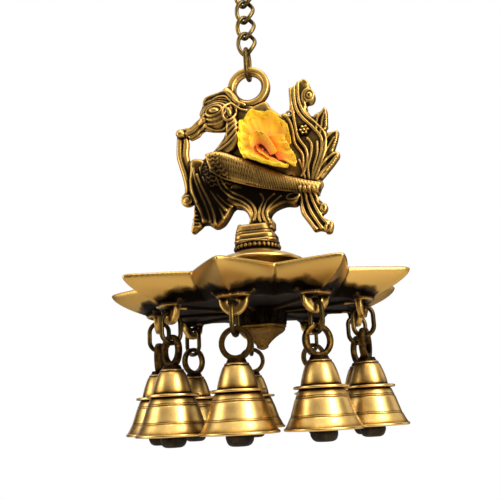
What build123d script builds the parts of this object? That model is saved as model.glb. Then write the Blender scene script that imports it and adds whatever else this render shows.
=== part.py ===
from build123d import *
import math
import os

# Hanging oil lamp with a peacock, nine pointed lamp petals and nine small bells.
# Millimetres. While building, height 0 is the rim of the petals and the lamp's axis is
# the Z axis; the last step moves everything so that the origin is the point where the
# top hook hangs. The bird faces -X and its broad side faces -Y, over petal 0.

petal_count = 9
fit_gap = 0.3            # air between pieces that move on each other
arch_gap = 0.15          # extra drop of the long link, for the hanger's arched hole
screw_gap = 0.1          # clearance of the stud in the pieces it only passes through
thread_bite = 0.1        # how far the stud's thread cuts into what it is screwed in

# petal tray
tip_radius = 80.0        # lamp axis to the pointed end of a petal
valley_radius = 58.0     # lamp axis to the notch between two petals
tray_depth = 13.0
tip_fall = 0.319         # how fast the keel runs in towards the axis below the rim
valley_fall = 0.160      # the same, in the notches
fall_power = 1.66
tip_wall = 3.2           # wall measured along the axis of a petal
valley_wall = 2.4
tray_floor = 2.2
tray_levels = 7          # outlines that the tray's side is drawn through

# lugs under the petals, and the wire rings in them
lug_radius = 54.5        # lamp axis to the middle of a lug
lug_thickness = 3.0
lug_top_width = 19.0
lug_round_radius = 6.3
lug_hole_radius = 2.5
lug_hole_drop = 15.5     # rim to the middle of the hole
lug_flare_drop = 12.4    # rim to where the lug is widest
ring_wire_radius = 1.15
ring_inner_width = 8.0
ring_inner_height = 12.4

# bells
bell_rim_radius = 17.7
bell_lip_height = 0.8
bell_wall = 1.7
bell_shoulder_radius = 10.2   # just under the flange
bell_body_height = 17.8       # rim to the underside of the flange
bell_flange_radius = 12.5
bell_flange_thickness = 1.3
bell_crown_radius = 8.9
bell_neck_radius = 5.2
bell_crown_height = 11.0      # flange to the neck
bell_cavity_height = 26.0
bell_roof_flat = 3.0          # radius of the flat middle of the hollow's roof
bell_eye_hole_radius = 5.4
bell_eye_wall = 2.4
bell_eye_thickness = 3.2
bell_stem_height = 1.4        # neck to the outside of the eye

# clapper inside each bell
staple_wire_radius = 0.75
staple_half_width = 2.9
staple_drop = 5.2             # roof of the hollow to the middle of the staple's bar
clapper_wire_radius = 0.7
clapper_eye_radius = 2.3
clapper_knob_radius = 6.2
clapper_knob_height = 11.0
clapper_below_rim = 5.0

# pieces on the lamp's axis
stud_radius = 3.0
stand_stem_radius = 13.0
stand_disc_radius = 24.5
stand_disc_height = 13.3      # above the rim of the petals
stand_top_height = 17.0
collar_bottom_radius = 14.0
collar_waist_radius = 11.6
collar_top_radius = 12.2
collar_height = 6.3
collar_beads = 30
collar_bead_radius = 1.15
drum_top_radius = 14.8
drum_bottom_radius = 13.4
drum_height = 8.0
drum_flutes = 14
drum_flute_radius = 1.3
finial_height = 12.6
finial_tip_radius = 1.2

# bird
base_half_width = 11.75
base_half_depth = 9.0
base_corner_radius = 5.0
base_plate_height = 4.4
hanger_height = 115.5         # middle of the bird's hanging ring, above the petal rim
hanger_radius = 12.3
hanger_hole_radius = 7.4
hanger_depth = 5.6
hanger_chamfer = 1.8
vine_radius = 2.2
web_half_depth = 3.0

# blossom laid in front of the bird's back
blossom_thickness = 11.0

# chain
link_wire_radius = 1.2
link_pitch = 10.5
link_half_width = 4.9         # middle of the wire to the chain's axis
link_twist = 42.0             # each end of a curb link turns this many degrees
link_corners = 14             # straight runs that one link's wire is bent from
curb_link_count = 4
long_link_inner_width = 7.8
long_link_inner_length = 16.1

# top hook
hook_wire_radius = 1.5
hook_loop_radius = 4.3        # lower loop, middle of the wire
hook_arch_radius = 7.5        # upper arch, middle of the wire
hook_height = 34.0            # between the middles of the wire, top to bottom

# heights that follow
petal_step = 360.0 / petal_count
ring_top_sag = (lug_thickness / 2) ** 2 / (ring_inner_width + 2 * ring_wire_radius)
ring_top = -lug_hole_drop - lug_hole_radius + fit_gap + ring_top_sag + ring_wire_radius
ring_arc_radius = ring_inner_width / 2 + ring_wire_radius
ring_pivot = ring_top - ring_arc_radius
ring_bottom = ring_top - ring_inner_height - 2 * ring_wire_radius
eye_sag = (bell_eye_thickness / 2) ** 2 / (2 * ring_arc_radius)
eye_centre = ring_bottom + ring_wire_radius + eye_sag + fit_gap - bell_eye_hole_radius
eye_outer_radius = bell_eye_hole_radius + bell_eye_wall
neck_level = eye_centre - eye_outer_radius - bell_stem_height
flange_top = neck_level - bell_crown_height
bell_rim = flange_top - bell_flange_thickness - bell_body_height
cavity_top = bell_rim + bell_cavity_height
staple_bar = cavity_top - staple_drop
collar_bottom = stand_top_height
base_bottom = collar_bottom + collar_height
base_top = base_bottom + base_plate_height
drum_top = -tray_depth
finial_top = drum_top - drum_height
hanger_hole_top = hanger_height + hanger_hole_radius
long_link_bottom = hanger_hole_top - fit_gap - arch_gap - link_wire_radius
long_link_top = long_link_bottom + long_link_inner_length + 2 * link_wire_radius
link_half_length = link_pitch / 2 + link_wire_radius + fit_gap / 2
first_link_centre = long_link_top - 2 * link_wire_radius - fit_gap + link_half_length
last_link_top = first_link_centre + (curb_link_count - 1) * link_pitch + link_half_length
hook_bottom = last_link_top - link_wire_radius - hook_wire_radius - fit_gap
hook_top = hook_bottom + hook_height
hanging_point = hook_top - hook_wire_radius


def petal_place(index):
    # petal 0 points to -Y and the others follow anticlockwise, seen from above
    return Rot(0, 0, -90 + index * petal_step)


def save(shape, node):
    export_step(Pos(0, 0, -hanging_point) * shape, f"parts/{node}.step")


def star_outline(level, tip, valley):
    points = []
    for corner in range(2 * petal_count):
        angle = math.radians(-90 + corner * petal_step / 2)
        radius = tip if corner % 2 == 0 else valley
        points.append((radius * math.cos(angle), radius * math.sin(angle)))
    return Pos(0, 0, level) * make_face(Polyline(*points, close=True))


def keel_radius(drop):
    return tip_radius - tip_fall * drop ** fall_power


def notch_radius(drop):
    return valley_radius - valley_fall * drop ** fall_power


def star_body(depth, tip_inset, notch_inset):
    # the outlines are closest together near the rim, where the keel is steep
    outlines = []
    for step in range(tray_levels):
        share = step / (tray_levels - 1)
        drop = tray_depth * share
        tip = keel_radius(drop) - tip_inset
        notch = notch_radius(drop) - notch_inset
        outlines.append(star_outline(-depth * share, tip, notch))
    return loft(outlines, ruled=True)


def lug():
    # a rounded plate that hangs from the petal, across the petal's keel
    hole = Pos(0, -lug_hole_drop) * Circle(lug_hole_radius)
    ear = Pos(0, -lug_hole_drop) * Circle(lug_round_radius)
    half = lug_top_width / 2
    root = Polygon(
        (-half, -tray_depth + tray_floor),
        (half, -tray_depth + tray_floor),
        (half, -lug_flare_drop),
        (lug_round_radius, -lug_hole_drop - 1),
        (-lug_round_radius, -lug_hole_drop - 1),
        (-half, -lug_flare_drop),
        align=None,
    )
    outline = root + ear - hole
    plate = extrude(Plane.YZ * outline, lug_thickness / 2, both=True)
    return Pos(lug_radius, 0, 0) * plate


def tray():
    body = star_body(tray_depth, 0, 0)
    for index in range(petal_count):
        body += petal_place(index) * lug()
    body -= star_body(tray_depth - tray_floor, tip_wall, valley_wall)
    stud_way = Cylinder(stud_radius + screw_gap, 4 * tray_depth)
    return body - stud_way


def bent_wire(points, radii, wire_radius):
    path = FilletPolyline(*points, radius=radii)
    section = Plane(origin=path @ 0, z_dir=path % 0) * Circle(wire_radius)
    return sweep(section, path=path)


def round_ended_link(wire_radius, half_width, bottom, top):
    # a closed wire link in the XZ plane: half rings at both ends, straight sides
    ends = []
    for level, side in ((top - half_width, 1), (bottom + half_width, -1)):
        whole = Rot(90, 0, 0) * Torus(half_width, wire_radius)
        block = Pos(0, 0, side * 10 * half_width) * Box(*(20 * half_width,) * 3)
        ends.append(Pos(0, 0, level) * (whole & block))
    length = top - bottom - 2 * half_width
    middle = (top + bottom) / 2
    sides = [
        Pos(x, 0, middle) * Cylinder(wire_radius, length) for x in (-half_width, half_width)
    ]
    return ends[0] + sides[0] + ends[1] + sides[1]


def bell_ring():
    link = round_ended_link(ring_wire_radius, ring_arc_radius, ring_bottom, ring_top)
    return Pos(lug_radius, 0, 0) * link


def bell_outline():
    # outside of the bell as radius and height, from the rim up to the neck
    shoulder = bell_rim + bell_body_height
    lip = bell_rim + bell_lip_height
    flare = Spline(
        (bell_rim_radius, lip),
        (bell_rim_radius * 0.785, bell_rim + bell_body_height * 0.45),
        (bell_shoulder_radius, shoulder),
        tangents=[(-0.62, 1), (-0.16, 1)],
    )
    crown_foot = flange_top + 1.0
    dome = ThreePointArc(
        (bell_crown_radius, crown_foot),
        (bell_crown_radius * 0.87, (crown_foot + neck_level) / 2),
        (bell_neck_radius, neck_level),
    )
    return [
        Line((0, bell_rim), (bell_rim_radius, bell_rim)),
        Line((bell_rim_radius, bell_rim), (bell_rim_radius, lip)),
        flare,
        Line((bell_shoulder_radius, shoulder), (bell_flange_radius, shoulder)),
        Line((bell_flange_radius, shoulder), (bell_flange_radius, flange_top)),
        Line((bell_flange_radius, flange_top), (bell_crown_radius, flange_top)),
        Line((bell_crown_radius, flange_top), (bell_crown_radius, crown_foot)),
        dome,
        Line((bell_neck_radius, neck_level), (0, neck_level)),
        Line((0, neck_level), (0, bell_rim)),
    ]


def bell_hollow():
    # inside of the bell: it runs along the outside, one wall further in
    shoulder = bell_rim + bell_body_height
    mouth = bell_rim_radius - bell_wall
    waist = bell_shoulder_radius - bell_wall
    crown = bell_crown_radius - bell_wall
    below = bell_rim - 1
    flare = Spline(
        (mouth, bell_rim),
        (bell_rim_radius * 0.785 - bell_wall, bell_rim + bell_body_height * 0.45),
        (waist, shoulder),
        tangents=[(-0.62, 1), (-0.16, 1)],
    )
    roof = ThreePointArc(
        (crown, flange_top),
        (crown * 0.76, cavity_top - (cavity_top - flange_top) * 0.28),
        (bell_roof_flat, cavity_top),
    )
    edges = [
        Line((0, below), (mouth, below)),
        Line((mouth, below), (mouth, bell_rim)),
        flare,
        Line((waist, shoulder), (crown, flange_top)),
        roof,
        Line((bell_roof_flat, cavity_top), (0, cavity_top)),
        Line((0, cavity_top), (0, below)),
    ]
    return revolve(Plane.XZ * make_face(edges), Axis.Z)


def bell():
    body = revolve(Plane.XZ * make_face(bell_outline()), Axis.Z)
    stem_height = bell_stem_height + bell_eye_wall * 0.6
    stem = Cone(bell_neck_radius - 0.4, bell_neck_radius - 1.4, stem_height)
    body += Pos(0, 0, neck_level + stem_height / 2) * stem
    eye = Circle(eye_outer_radius) - Circle(bell_eye_hole_radius)
    ring = extrude(Plane.YZ * eye, bell_eye_thickness / 2, both=True)
    ring = fillet(ring.edges().filter_by(GeomType.CIRCLE), 0.8)
    body += Pos(0, 0, eye_centre) * ring
    return Pos(lug_radius, 0, 0) * (body - bell_hollow())


def staple():
    # a wire bow across the petal's direction, let into the roof of the hollow
    top = cavity_top + 0.6
    points = [
        (0, -staple_half_width, top),
        (0, -staple_half_width, staple_bar),
        (0, staple_half_width, staple_bar),
        (0, staple_half_width, top),
    ]
    bow = bent_wire(points, 1.6, staple_wire_radius)
    return Pos(lug_radius, 0, 0) * bow


def clapper():
    eye_top = staple_bar + staple_wire_radius + fit_gap + clapper_wire_radius
    eye_middle = eye_top - clapper_eye_radius
    eye = Pos(0, 0, eye_middle) * Rot(90, 0, 0) * Torus(clapper_eye_radius, clapper_wire_radius)
    knob_bottom = bell_rim - clapper_below_rim
    knob_top = knob_bottom + clapper_knob_height
    stem_top = eye_middle - clapper_eye_radius
    stem_length = stem_top - knob_top + 2
    stem = Pos(0, 0, stem_top - stem_length / 2) * Cylinder(clapper_wire_radius, stem_length)
    half = clapper_knob_radius
    profile = [
        Line((0, knob_bottom), (half * 0.62, knob_bottom)),
        ThreePointArc(
            (half * 0.62, knob_bottom),
            (half, knob_bottom + clapper_knob_height * 0.36),
            (half * 0.55, knob_bottom + clapper_knob_height * 0.8),
        ),
        Line((half * 0.55, knob_bottom + clapper_knob_height * 0.8), (half * 0.3, knob_top)),
        Line((half * 0.3, knob_top), (0, knob_top)),
        Line((0, knob_top), (0, knob_bottom)),
    ]
    knob = revolve(Plane.XZ * make_face(profile), Axis.Z)
    return Pos(lug_radius, 0, 0) * (eye + stem + knob)


def stand():
    # turned stand on the tray's floor: stem, round disc and a shallow dome
    foot = -tray_depth + tray_floor
    under = stand_disc_height - 3.0
    profile = [
        Line((0, foot), (stand_stem_radius + 4, foot)),
        ThreePointArc(
            (stand_stem_radius + 4, foot),
            (stand_stem_radius, foot + 8),
            (stand_stem_radius + 2, under - 3),
        ),
        Line((stand_stem_radius + 2, under - 3), (stand_disc_radius - 1.2, under + 0.8)),
        ThreePointArc(
            (stand_disc_radius - 1.2, under + 0.8),
            (stand_disc_radius, under + 2.0),
            (stand_disc_radius - 0.8, stand_disc_height),
        ),
        ThreePointArc(
            (stand_disc_radius - 0.8, stand_disc_height),
            (stand_disc_radius * 0.75, stand_top_height - 1.2),
            (collar_bottom_radius, stand_top_height),
        ),
        Line((collar_bottom_radius, stand_top_height), (0, stand_top_height)),
        Line((0, stand_top_height), (0, foot)),
    ]
    body = revolve(Plane.XZ * make_face(profile), Axis.Z)
    return body - Cylinder(stud_radius + screw_gap, 6 * stand_top_height)


def collar():
    # waisted turned ring with a row of beads, under the bird's base
    top = base_bottom
    waist = collar_bottom + collar_height * 0.35
    profile = [
        Line((0, collar_bottom), (collar_bottom_radius, collar_bottom)),
        ThreePointArc(
            (collar_bottom_radius, collar_bottom),
            (collar_waist_radius + 0.6, waist - 1),
            (collar_waist_radius, waist),
        ),
        Line((collar_waist_radius, waist), (collar_top_radius, top - 0.8)),
        Line((collar_top_radius, top - 0.8), (collar_top_radius, top)),
        Line((collar_top_radius, top), (0, top)),
        Line((0, top), (0, collar_bottom)),
    ]
    body = revolve(Plane.XZ * make_face(profile), Axis.Z)
    bead_level = collar_bottom + collar_height * 0.6
    for index in range(collar_beads):
        turn = Rot(0, 0, index * 360 / collar_beads)
        bead = Pos(collar_waist_radius, 0, bead_level) * Sphere(collar_bead_radius)
        body += turn * bead
    return body - Pos(0, 0, top) * Cylinder(stud_radius + screw_gap, 6 * collar_height)


def drum():
    # fluted drum between the tray and the pointed end nut
    middle = drum_top - drum_height / 2
    body = Pos(0, 0, middle) * Cone(drum_bottom_radius, drum_top_radius, drum_height)
    for index in range(drum_flutes):
        turn = Rot(0, 0, index * 360 / drum_flutes)
        lean = math.degrees(math.atan((drum_top_radius - drum_bottom_radius) / drum_height))
        flute = Rot(0, lean, 0) * Cylinder(drum_flute_radius, 2 * drum_height)
        radius = (drum_top_radius + drum_bottom_radius) / 2 + drum_flute_radius * 0.35
        body -= turn * Pos(radius, 0, middle) * flute
    return body - Pos(0, 0, middle) * Cylinder(stud_radius + screw_gap, 3 * drum_height)


def finial():
    # pointed nut that is screwed on the stud from below
    bottom = finial_top - finial_height
    profile = [
        Line((0, finial_top), (drum_bottom_radius - 0.4, finial_top)),
        ThreePointArc(
            (drum_bottom_radius - 0.4, finial_top),
            (drum_bottom_radius * 0.52, finial_top - finial_height * 0.53),
            (finial_tip_radius, bottom + 0.6),
        ),
        Line((finial_tip_radius, bottom + 0.6), (finial_tip_radius * 0.4, bottom)),
        Line((finial_tip_radius * 0.4, bottom), (0, bottom)),
        Line((0, bottom), (0, finial_top)),
    ]
    body = revolve(Plane.XZ * make_face(profile), Axis.Z)
    depth = finial_height * 0.4
    hole = Pos(0, 0, finial_top - depth / 2) * Cylinder(stud_radius - thread_bite, depth)
    return body - hole


def stud():
    # threaded rod that holds the bird, collar, stand, tray, drum and finial together
    bottom = finial_top - finial_height * 0.4 + 0.5
    top = base_top + 3.0
    return Pos(0, 0, (top + bottom) / 2) * Cylinder(stud_radius, top - bottom)


def slab(half_depth, *points):
    # a flat casting with a smooth outline, given as X and Z
    edge = Spline(*points, periodic=True)
    return extrude(Plane.XZ * make_face(edge), half_depth, both=True)


def tipped_slab(half_depth, *points):
    outline = Polyline(*points, close=True)
    return extrude(Plane.XZ * make_face(outline), half_depth, both=True)


def bulge(centre, half_sizes, tilt=0.0):
    ball = scale(Sphere(1), by=half_sizes)
    return Pos(centre[0], 0, centre[1]) * Rot(0, tilt, 0) * ball


def hanger():
    outline = Circle(hanger_radius) - Circle(hanger_hole_radius)
    eye = extrude(Plane.XZ * outline, hanger_depth / 2, both=True)
    eye = chamfer(eye.edges().filter_by(GeomType.CIRCLE), hanger_chamfer)
    return Pos(0, 0, hanger_height) * eye


def bird_base():
    outline = RectangleRounded(2 * base_half_width, 2 * base_half_depth, base_corner_radius)
    plate = Pos(0, 0, base_bottom) * extrude(outline, base_plate_height)
    step = Pos(-1.1, 0, base_top) * extrude(RectangleRounded(21.2, 14.0, 3.0), 6.8, taper=4)
    return plate + step


def bird_head():
    head = bulge((-17.5, 101.0), (12.0, 6.5, 9.6), 18)
    crest = slab(
        4.0, (-27, 107), (-25.5, 112.5), (-18, 114.8), (-10.5, 116.5), (-8.5, 110), (-15, 104)
    )
    return head + crest


def bird_neck():
    return slab(
        5.5, (-15, 93), (-11, 98), (-10, 86), (-9, 75), (-16, 68), (-26, 73), (-20, 81), (-15.3, 86)
    )


def bird_trunk():
    breast = bulge((-18.5, 66.0), (12.3, 8.6, 12.8))
    belly = bulge((3.5, 57.5), (28.5, 10.0, 11.5), 12)
    legs = slab(
        5.0, (-10, 50), (-6.5, 43.5), (-3.2, 37.5), (-4, 33.5), (8, 33.5), (7, 38), (11, 42.5),
        (22, 43.5), (24, 50), (6, 56),
    )
    return breast + belly + legs


def bird_back():
    return slab(
        web_half_depth,
        (-10, 107), (0, 104), (9, 106), (12.5, 101.5), (18, 97), (24, 88), (28, 70), (24, 60),
        (0, 62), (-10, 76), (-8, 92),
    )


def bird_tail():
    return tipped_slab(
        web_half_depth,
        (17, 96.5), (23.5, 97.5), (23.2, 110.5), (27, 113.5), (31, 115), (34.5, 113), (35, 109),
        (37.4, 103.5), (36, 100), (33.5, 98), (36, 93), (42.5, 96.8), (44, 89), (43, 82.5),
        (48.5, 82.3), (46.5, 73.5), (45, 70), (49, 69), (43, 61), (37, 55.5), (34.5, 49),
        (24, 52), (18, 70),
    )


def bird_scroll():
    return slab(
        web_half_depth,
        (24, 52), (24.5, 38), (29, 28.8), (33, 26.3), (39.5, 25), (41.8, 28.5), (38.2, 34),
        (39.3, 39.5), (36, 43.5), (35, 51), (29, 56),
    )


def bird_vine():
    points = [
        (-26.5, 0, 98), (-33, 0, 95.5), (-41.5, 0, 92), (-42.6, 0, 81), (-40.5, 0, 71),
        (-37.8, 0, 60), (-41, 0, 52.5), (-34, 0, 47),
    ]
    stem = bent_wire(points, [3, 5, 8, 12, 6, 2.5], vine_radius)
    knob = Pos(-42, 0, 92.8) * Sphere(2.7)
    curl = Pos(-39.6, 0, 52.6) * Sphere(3.2)
    return stem + knob + curl


def bird_leaves():
    bunch = slab(
        4.5,
        (-36, 72), (-29, 74), (-20, 60), (-8, 49), (-12.5, 43.5), (-16, 38), (-20, 35.5),
        (-25, 34.3), (-30, 38.5), (-34, 47), (-37, 58), (-38, 67),
    )
    horn = tipped_slab(3.0, (-35, 48), (-28, 44), (-28.5, 38), (-36, 33), (-37.5, 34.5))
    berry = Pos(-33.5, 0, 72.5) * Sphere(3.4)
    return bunch + horn + berry


def peacock():
    body = bird_back() + bird_neck() + bird_trunk() + bird_head()
    body += bird_tail() + bird_scroll()
    body += bird_leaves() + bird_vine()
    body += bird_base()
    ring_hole = Pos(0, 0, hanger_height) * Rot(90, 0, 0) * Cylinder(hanger_hole_radius + 1, 40)
    body = body - ring_hole + hanger()
    depth = base_top + 3.5 - base_bottom
    body -= Pos(0, 0, base_bottom + depth / 2) * Cylinder(stud_radius - thread_bite, depth)
    return body


def blossom():
    # plain closed form of the flower head, just in front of the bird's web
    back = web_half_depth + fit_gap
    head = scale(Sphere(1), by=(13.0, blossom_thickness, 16.5))
    head = Pos(7.0, -back, 86.5) * Rot(0, -28, 0) * head
    return head & Pos(0, -back - 50, 80) * Box(100, 100, 100)


def curb_link():
    # a wire ring that is twisted, so that its two ends cross its neighbours' ends
    stretch = 1 / math.cos(math.pi / link_corners)
    corners = []
    for step in range(link_corners):
        angle = 2 * math.pi * (step - 0.5) / link_corners
        level = link_half_length * math.sin(angle)
        turn = math.radians(link_twist) * math.sin(angle)
        out = link_half_width * math.cos(angle)
        corner = Vector(out * math.cos(turn), out * math.sin(turn), level)
        corners.append(corner * stretch)
    half = link_corners // 2
    right_side = (corners[0] + corners[1]) / 2
    left_side = (corners[half] + corners[half + 1]) / 2
    upper = [right_side, *corners[1:half + 1], left_side]
    lower = [left_side, *corners[half + 1:], corners[0], right_side]
    wire = bent_wire(upper, 3.0, link_wire_radius)
    return wire + bent_wire(lower, 3.0, link_wire_radius)


def long_link():
    half = long_link_inner_width / 2 + link_wire_radius
    link = round_ended_link(link_wire_radius, half, long_link_bottom, long_link_top)
    return Rot(0, 0, 90) * link


def top_hook():
    loop = hook_loop_radius
    arch = hook_arch_radius
    points = [
        (-loop, 0, hook_bottom + 1.6 * loop),
        (-loop, 0, hook_bottom),
        (loop, 0, hook_bottom),
        (loop, 0, hook_bottom + 2 * loop),
        (-arch, 0, hook_top - 1.6 * arch),
        (-arch, 0, hook_top),
        (arch, 0, hook_top),
        (arch, 0, hook_top - 1.7 * arch),
    ]
    radii = [0.96 * loop, 0.96 * loop, 3.0, 5.0, 0.96 * arch, 0.96 * arch]
    wire = bent_wire(points, radii, hook_wire_radius)
    return Rot(0, 0, -45) * wire


os.makedirs("parts", exist_ok=True)

save(top_hook(), "top_hook")
one_link = curb_link()
for number in range(curb_link_count):
    level = first_link_centre + number * link_pitch
    save(Pos(0, 0, level) * one_link, f"chain_link_{number + 1}")
save(long_link(), "long_link")

save(peacock(), "peacock")
save(blossom(), "blossom")
save(collar(), "beaded_collar")
save(stand(), "centre_stand")
save(tray(), "petal_tray")
save(drum(), "fluted_drum")
save(finial(), "finial_nut")
save(stud(), "threaded_stud")

bell_pieces = {
    "bell_ring": bell_ring(),
    "bell": bell(),
    "clapper_staple": staple(),
    "clapper": clapper(),
}
for index in range(petal_count):
    for name, shape in bell_pieces.items():
        save(petal_place(index) * shape, f"{name}_{index + 1}")

print("hanging point above the petal rim", round(hanging_point, 3))
print("ring pivot", round(ring_pivot, 3), "ring bottom", round(ring_bottom, 3))
print("bell rim", round(bell_rim, 3), "staple bar", round(staple_bar, 3))
print("long link", round(long_link_bottom, 3), round(long_link_top, 3))
print("first link", round(first_link_centre, 3), "hook bottom", round(hook_bottom, 3))
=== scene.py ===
import math
import random

import bpy
import numpy as np
from mathutils import Matrix, Vector
from mathutils.bvhtree import BVHTree


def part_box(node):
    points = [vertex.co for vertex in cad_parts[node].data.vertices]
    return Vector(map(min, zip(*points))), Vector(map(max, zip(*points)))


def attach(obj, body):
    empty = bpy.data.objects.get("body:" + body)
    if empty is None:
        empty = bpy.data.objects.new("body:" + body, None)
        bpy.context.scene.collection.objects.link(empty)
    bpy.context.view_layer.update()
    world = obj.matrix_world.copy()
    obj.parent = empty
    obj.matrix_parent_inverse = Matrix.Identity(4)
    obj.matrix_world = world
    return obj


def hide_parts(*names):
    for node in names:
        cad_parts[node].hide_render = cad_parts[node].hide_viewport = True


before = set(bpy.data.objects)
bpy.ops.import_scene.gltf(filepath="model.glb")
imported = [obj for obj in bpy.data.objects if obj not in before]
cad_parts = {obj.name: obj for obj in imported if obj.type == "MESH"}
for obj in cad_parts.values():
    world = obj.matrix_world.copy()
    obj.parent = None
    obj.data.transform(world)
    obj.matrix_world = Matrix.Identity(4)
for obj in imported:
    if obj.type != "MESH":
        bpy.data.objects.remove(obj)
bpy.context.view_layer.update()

# Hanging brass oil lamp with a peacock, nine lamp petals and nine bells on a chain.
# Shapes are made in millimetres: x and y from the lamp's axis, z from the petals' rim.
# The bird faces -X, its broad side faces -Y. addPiece turns them into metres of the frame.

mm = 0.001
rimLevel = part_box("petal_tray")[1].z
draws = random.Random(9)


def boxOf(node):
    low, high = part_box(node)
    shift = Vector((0, 0, rimLevel))
    return (low - shift) / mm, (high - shift) / mm


def smoothLine(points, count, closed=False):
    # Catmull-Rom curve through the points, with any number of values in each
    points = np.array(points, float)
    total = len(points)
    spans = total if closed else total - 1
    result = []
    for place in np.linspace(0, spans, count, endpoint=not closed):
        span = min(int(place), spans - 1)
        t = place - span
        picks = [span - 1, span, span + 1, span + 2]
        if closed:
            a, b, c, d = (points[pick % total] for pick in picks)
        else:
            a, b, c, d = (points[min(max(pick, 0), total - 1)] for pick in picks)
        curve = 2 * b + (c - a) * t + (2 * a - 5 * b + 4 * c - d) * t * t
        curve = curve + (3 * b - a - 3 * c + d) * t ** 3
        result.append(curve / 2)
    return np.array(result)


def joined(parts):
    verts, faces, start = [], [], 0
    for partVerts, partFaces in parts:
        verts.append(np.asarray(partVerts, float))
        faces += [[corner + start for corner in face] for face in partFaces]
        start += len(partVerts)
    return np.vstack(verts), faces


def ringFaces(rings, count, closed=False):
    # the skin between rings that hold the same number of points
    faces = []
    for ring in range(rings if closed else rings - 1):
        a, b = ring * count, (ring + 1) % rings * count
        for corner in range(count):
            following = (corner + 1) % count
            faces.append([a + corner, a + following, b + following, b + corner])
    return faces


def lathe(outline, turns=72, closed=False, wave=None):
    # outline holds radius and height, a radius of 0 is a pole
    verts, faces, rings = [], [], []
    for radius, level in outline:
        ring = []
        for turn in range(1 if radius < 1e-6 else turns):
            angle = 2 * math.pi * turn / turns
            reach = radius + (wave(angle, radius, level) if wave else 0)
            ring.append(len(verts))
            verts.append((reach * math.cos(angle), reach * math.sin(angle), level))
        rings.append(ring)
    following = rings[1:] + (rings[:1] if closed else [])
    for lower, upper in zip(rings, following):
        for turn in range(turns):
            after = (turn + 1) % turns
            corners = [lower[turn % len(lower)], lower[after % len(lower)],
                       upper[after % len(upper)], upper[turn % len(upper)]]
            corners = list(dict.fromkeys(corners))
            if len(corners) > 2:
                faces.append(corners)
    return np.array(verts), faces


def tube(path, radius, closed=False, sides=12, flatten=1.0):
    # round wire along a path, with rounded ends where it is open
    path = np.array(path, float)
    radii = np.broadcast_to(np.array(radius, float), (len(path),)).copy()
    if not closed:
        ends = []
        for end, inner in ((0, 1), (-1, -2)):
            out = path[end] - path[inner]
            out /= np.linalg.norm(out)
            caps = [(path[end] + out * radii[end] * math.sin(a), radii[end] * math.cos(a))
                    for a in (0.5, 1.0, 1.45)]
            ends.append(caps)
        first, last = ends
        path = np.vstack([[p for p, r in reversed(first)], path, [p for p, r in last]])
        radii = np.concatenate([[r for p, r in reversed(first)], radii, [r for p, r in last]])
    total = len(path)
    before = np.roll(path, 1, 0) if closed else np.vstack([path[:1], path[:-1]])
    after = np.roll(path, -1, 0) if closed else np.vstack([path[1:], path[-1:]])
    tangents = after - before
    tangents /= np.linalg.norm(tangents, axis=1)[:, None]
    side = np.cross(tangents[0], (0.13, 0.21, 0.97))
    if np.linalg.norm(side) < 0.3:
        side = np.cross(tangents[0], (0.95, 0.2, 0.1))
    frames = []
    for tangent in tangents:
        side = side - tangent * side.dot(tangent)
        side /= np.linalg.norm(side)
        frames.append((side.copy(), np.cross(tangent, side)))
    if closed:
        first, again = frames[0][0], frames[-1][0]
        again = again - tangents[0] * again.dot(tangents[0])
        slip = math.atan2(np.cross(first, again).dot(tangents[0]), first.dot(again))
        for step, (side, up) in enumerate(frames):
            turn = -slip * step / total
            frames[step] = (side * math.cos(turn) + up * math.sin(turn),
                            up * math.cos(turn) - side * math.sin(turn))
    verts = []
    for point, reach, (side, up) in zip(path, radii, frames):
        for corner in range(sides):
            angle = 2 * math.pi * corner / sides
            verts.append(point + reach * (side * math.cos(angle) + up * math.sin(angle) * flatten))
    faces = ringFaces(total, sides, closed)
    if not closed:
        faces.append([corner for corner in range(sides)][::-1])
        faces.append([(total - 1) * sides + corner for corner in range(sides)])
    return np.array(verts), faces


def ball(centre, sizes, tilt=0.0, rings=14):
    # ellipsoid, tilt turns it in the XZ plane, in degrees
    outline = [(math.sin(math.pi * step / rings), -math.cos(math.pi * step / rings))
               for step in range(rings + 1)]
    outline[0], outline[-1] = (0, -1), (0, 1)
    verts, faces = lathe(outline, 2 * rings)
    verts = verts * np.array(sizes)
    angle = math.radians(tilt)
    x = verts[:, 0] * math.cos(angle) + verts[:, 2] * math.sin(angle)
    z = verts[:, 2] * math.cos(angle) - verts[:, 0] * math.sin(angle)
    return np.stack([x + centre[0], verts[:, 1] + centre[1], z + centre[2]], 1), faces


def slab(outline, halfDepth, edge=1.0, count=90, centre=0.0):
    # flat casting in the XZ plane with rounded edges
    line = smoothLine(outline, count, closed=True)
    along = np.roll(line, -1, 0) - np.roll(line, 1, 0)
    along /= np.linalg.norm(along, axis=1)[:, None] + 1e-9
    inward = np.stack([-along[:, 1], along[:, 0]], 1)
    area = np.sum(line[:, 0] * np.roll(line[:, 1], -1) - np.roll(line[:, 0], -1) * line[:, 1])
    if area < 0:
        inward = -inward
    layers = []
    for share in (-1, -0.8, -0.4, 0.4, 0.8, 1):
        inset = edge * (1 - math.sqrt(1 - (share * 0.98) ** 2))
        flat = line + inward * inset
        layers.append(np.stack([flat[:, 0], np.full(count, centre + share * halfDepth), flat[:,
            1]], 1))
    faces = ringFaces(len(layers), count)
    faces.append(list(range(count)))
    faces.append([(len(layers) - 1) * count + corner for corner in range(count)][::-1])
    return np.vstack(layers), faces


def turned(shape, degrees, radius=0.0):
    # moves a shape out along X and turns it about the lamp's axis
    verts, faces = shape
    verts = np.array(verts) + np.array((radius, 0, 0))
    angle = math.radians(degrees)
    x = verts[:, 0] * math.cos(angle) - verts[:, 1] * math.sin(angle)
    y = verts[:, 0] * math.sin(angle) + verts[:, 1] * math.cos(angle)
    return np.stack([x, y, verts[:, 2]], 1), faces


def lifted(shape, move):
    verts, faces = shape
    return np.array(verts) + np.array(move, float), faces


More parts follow.
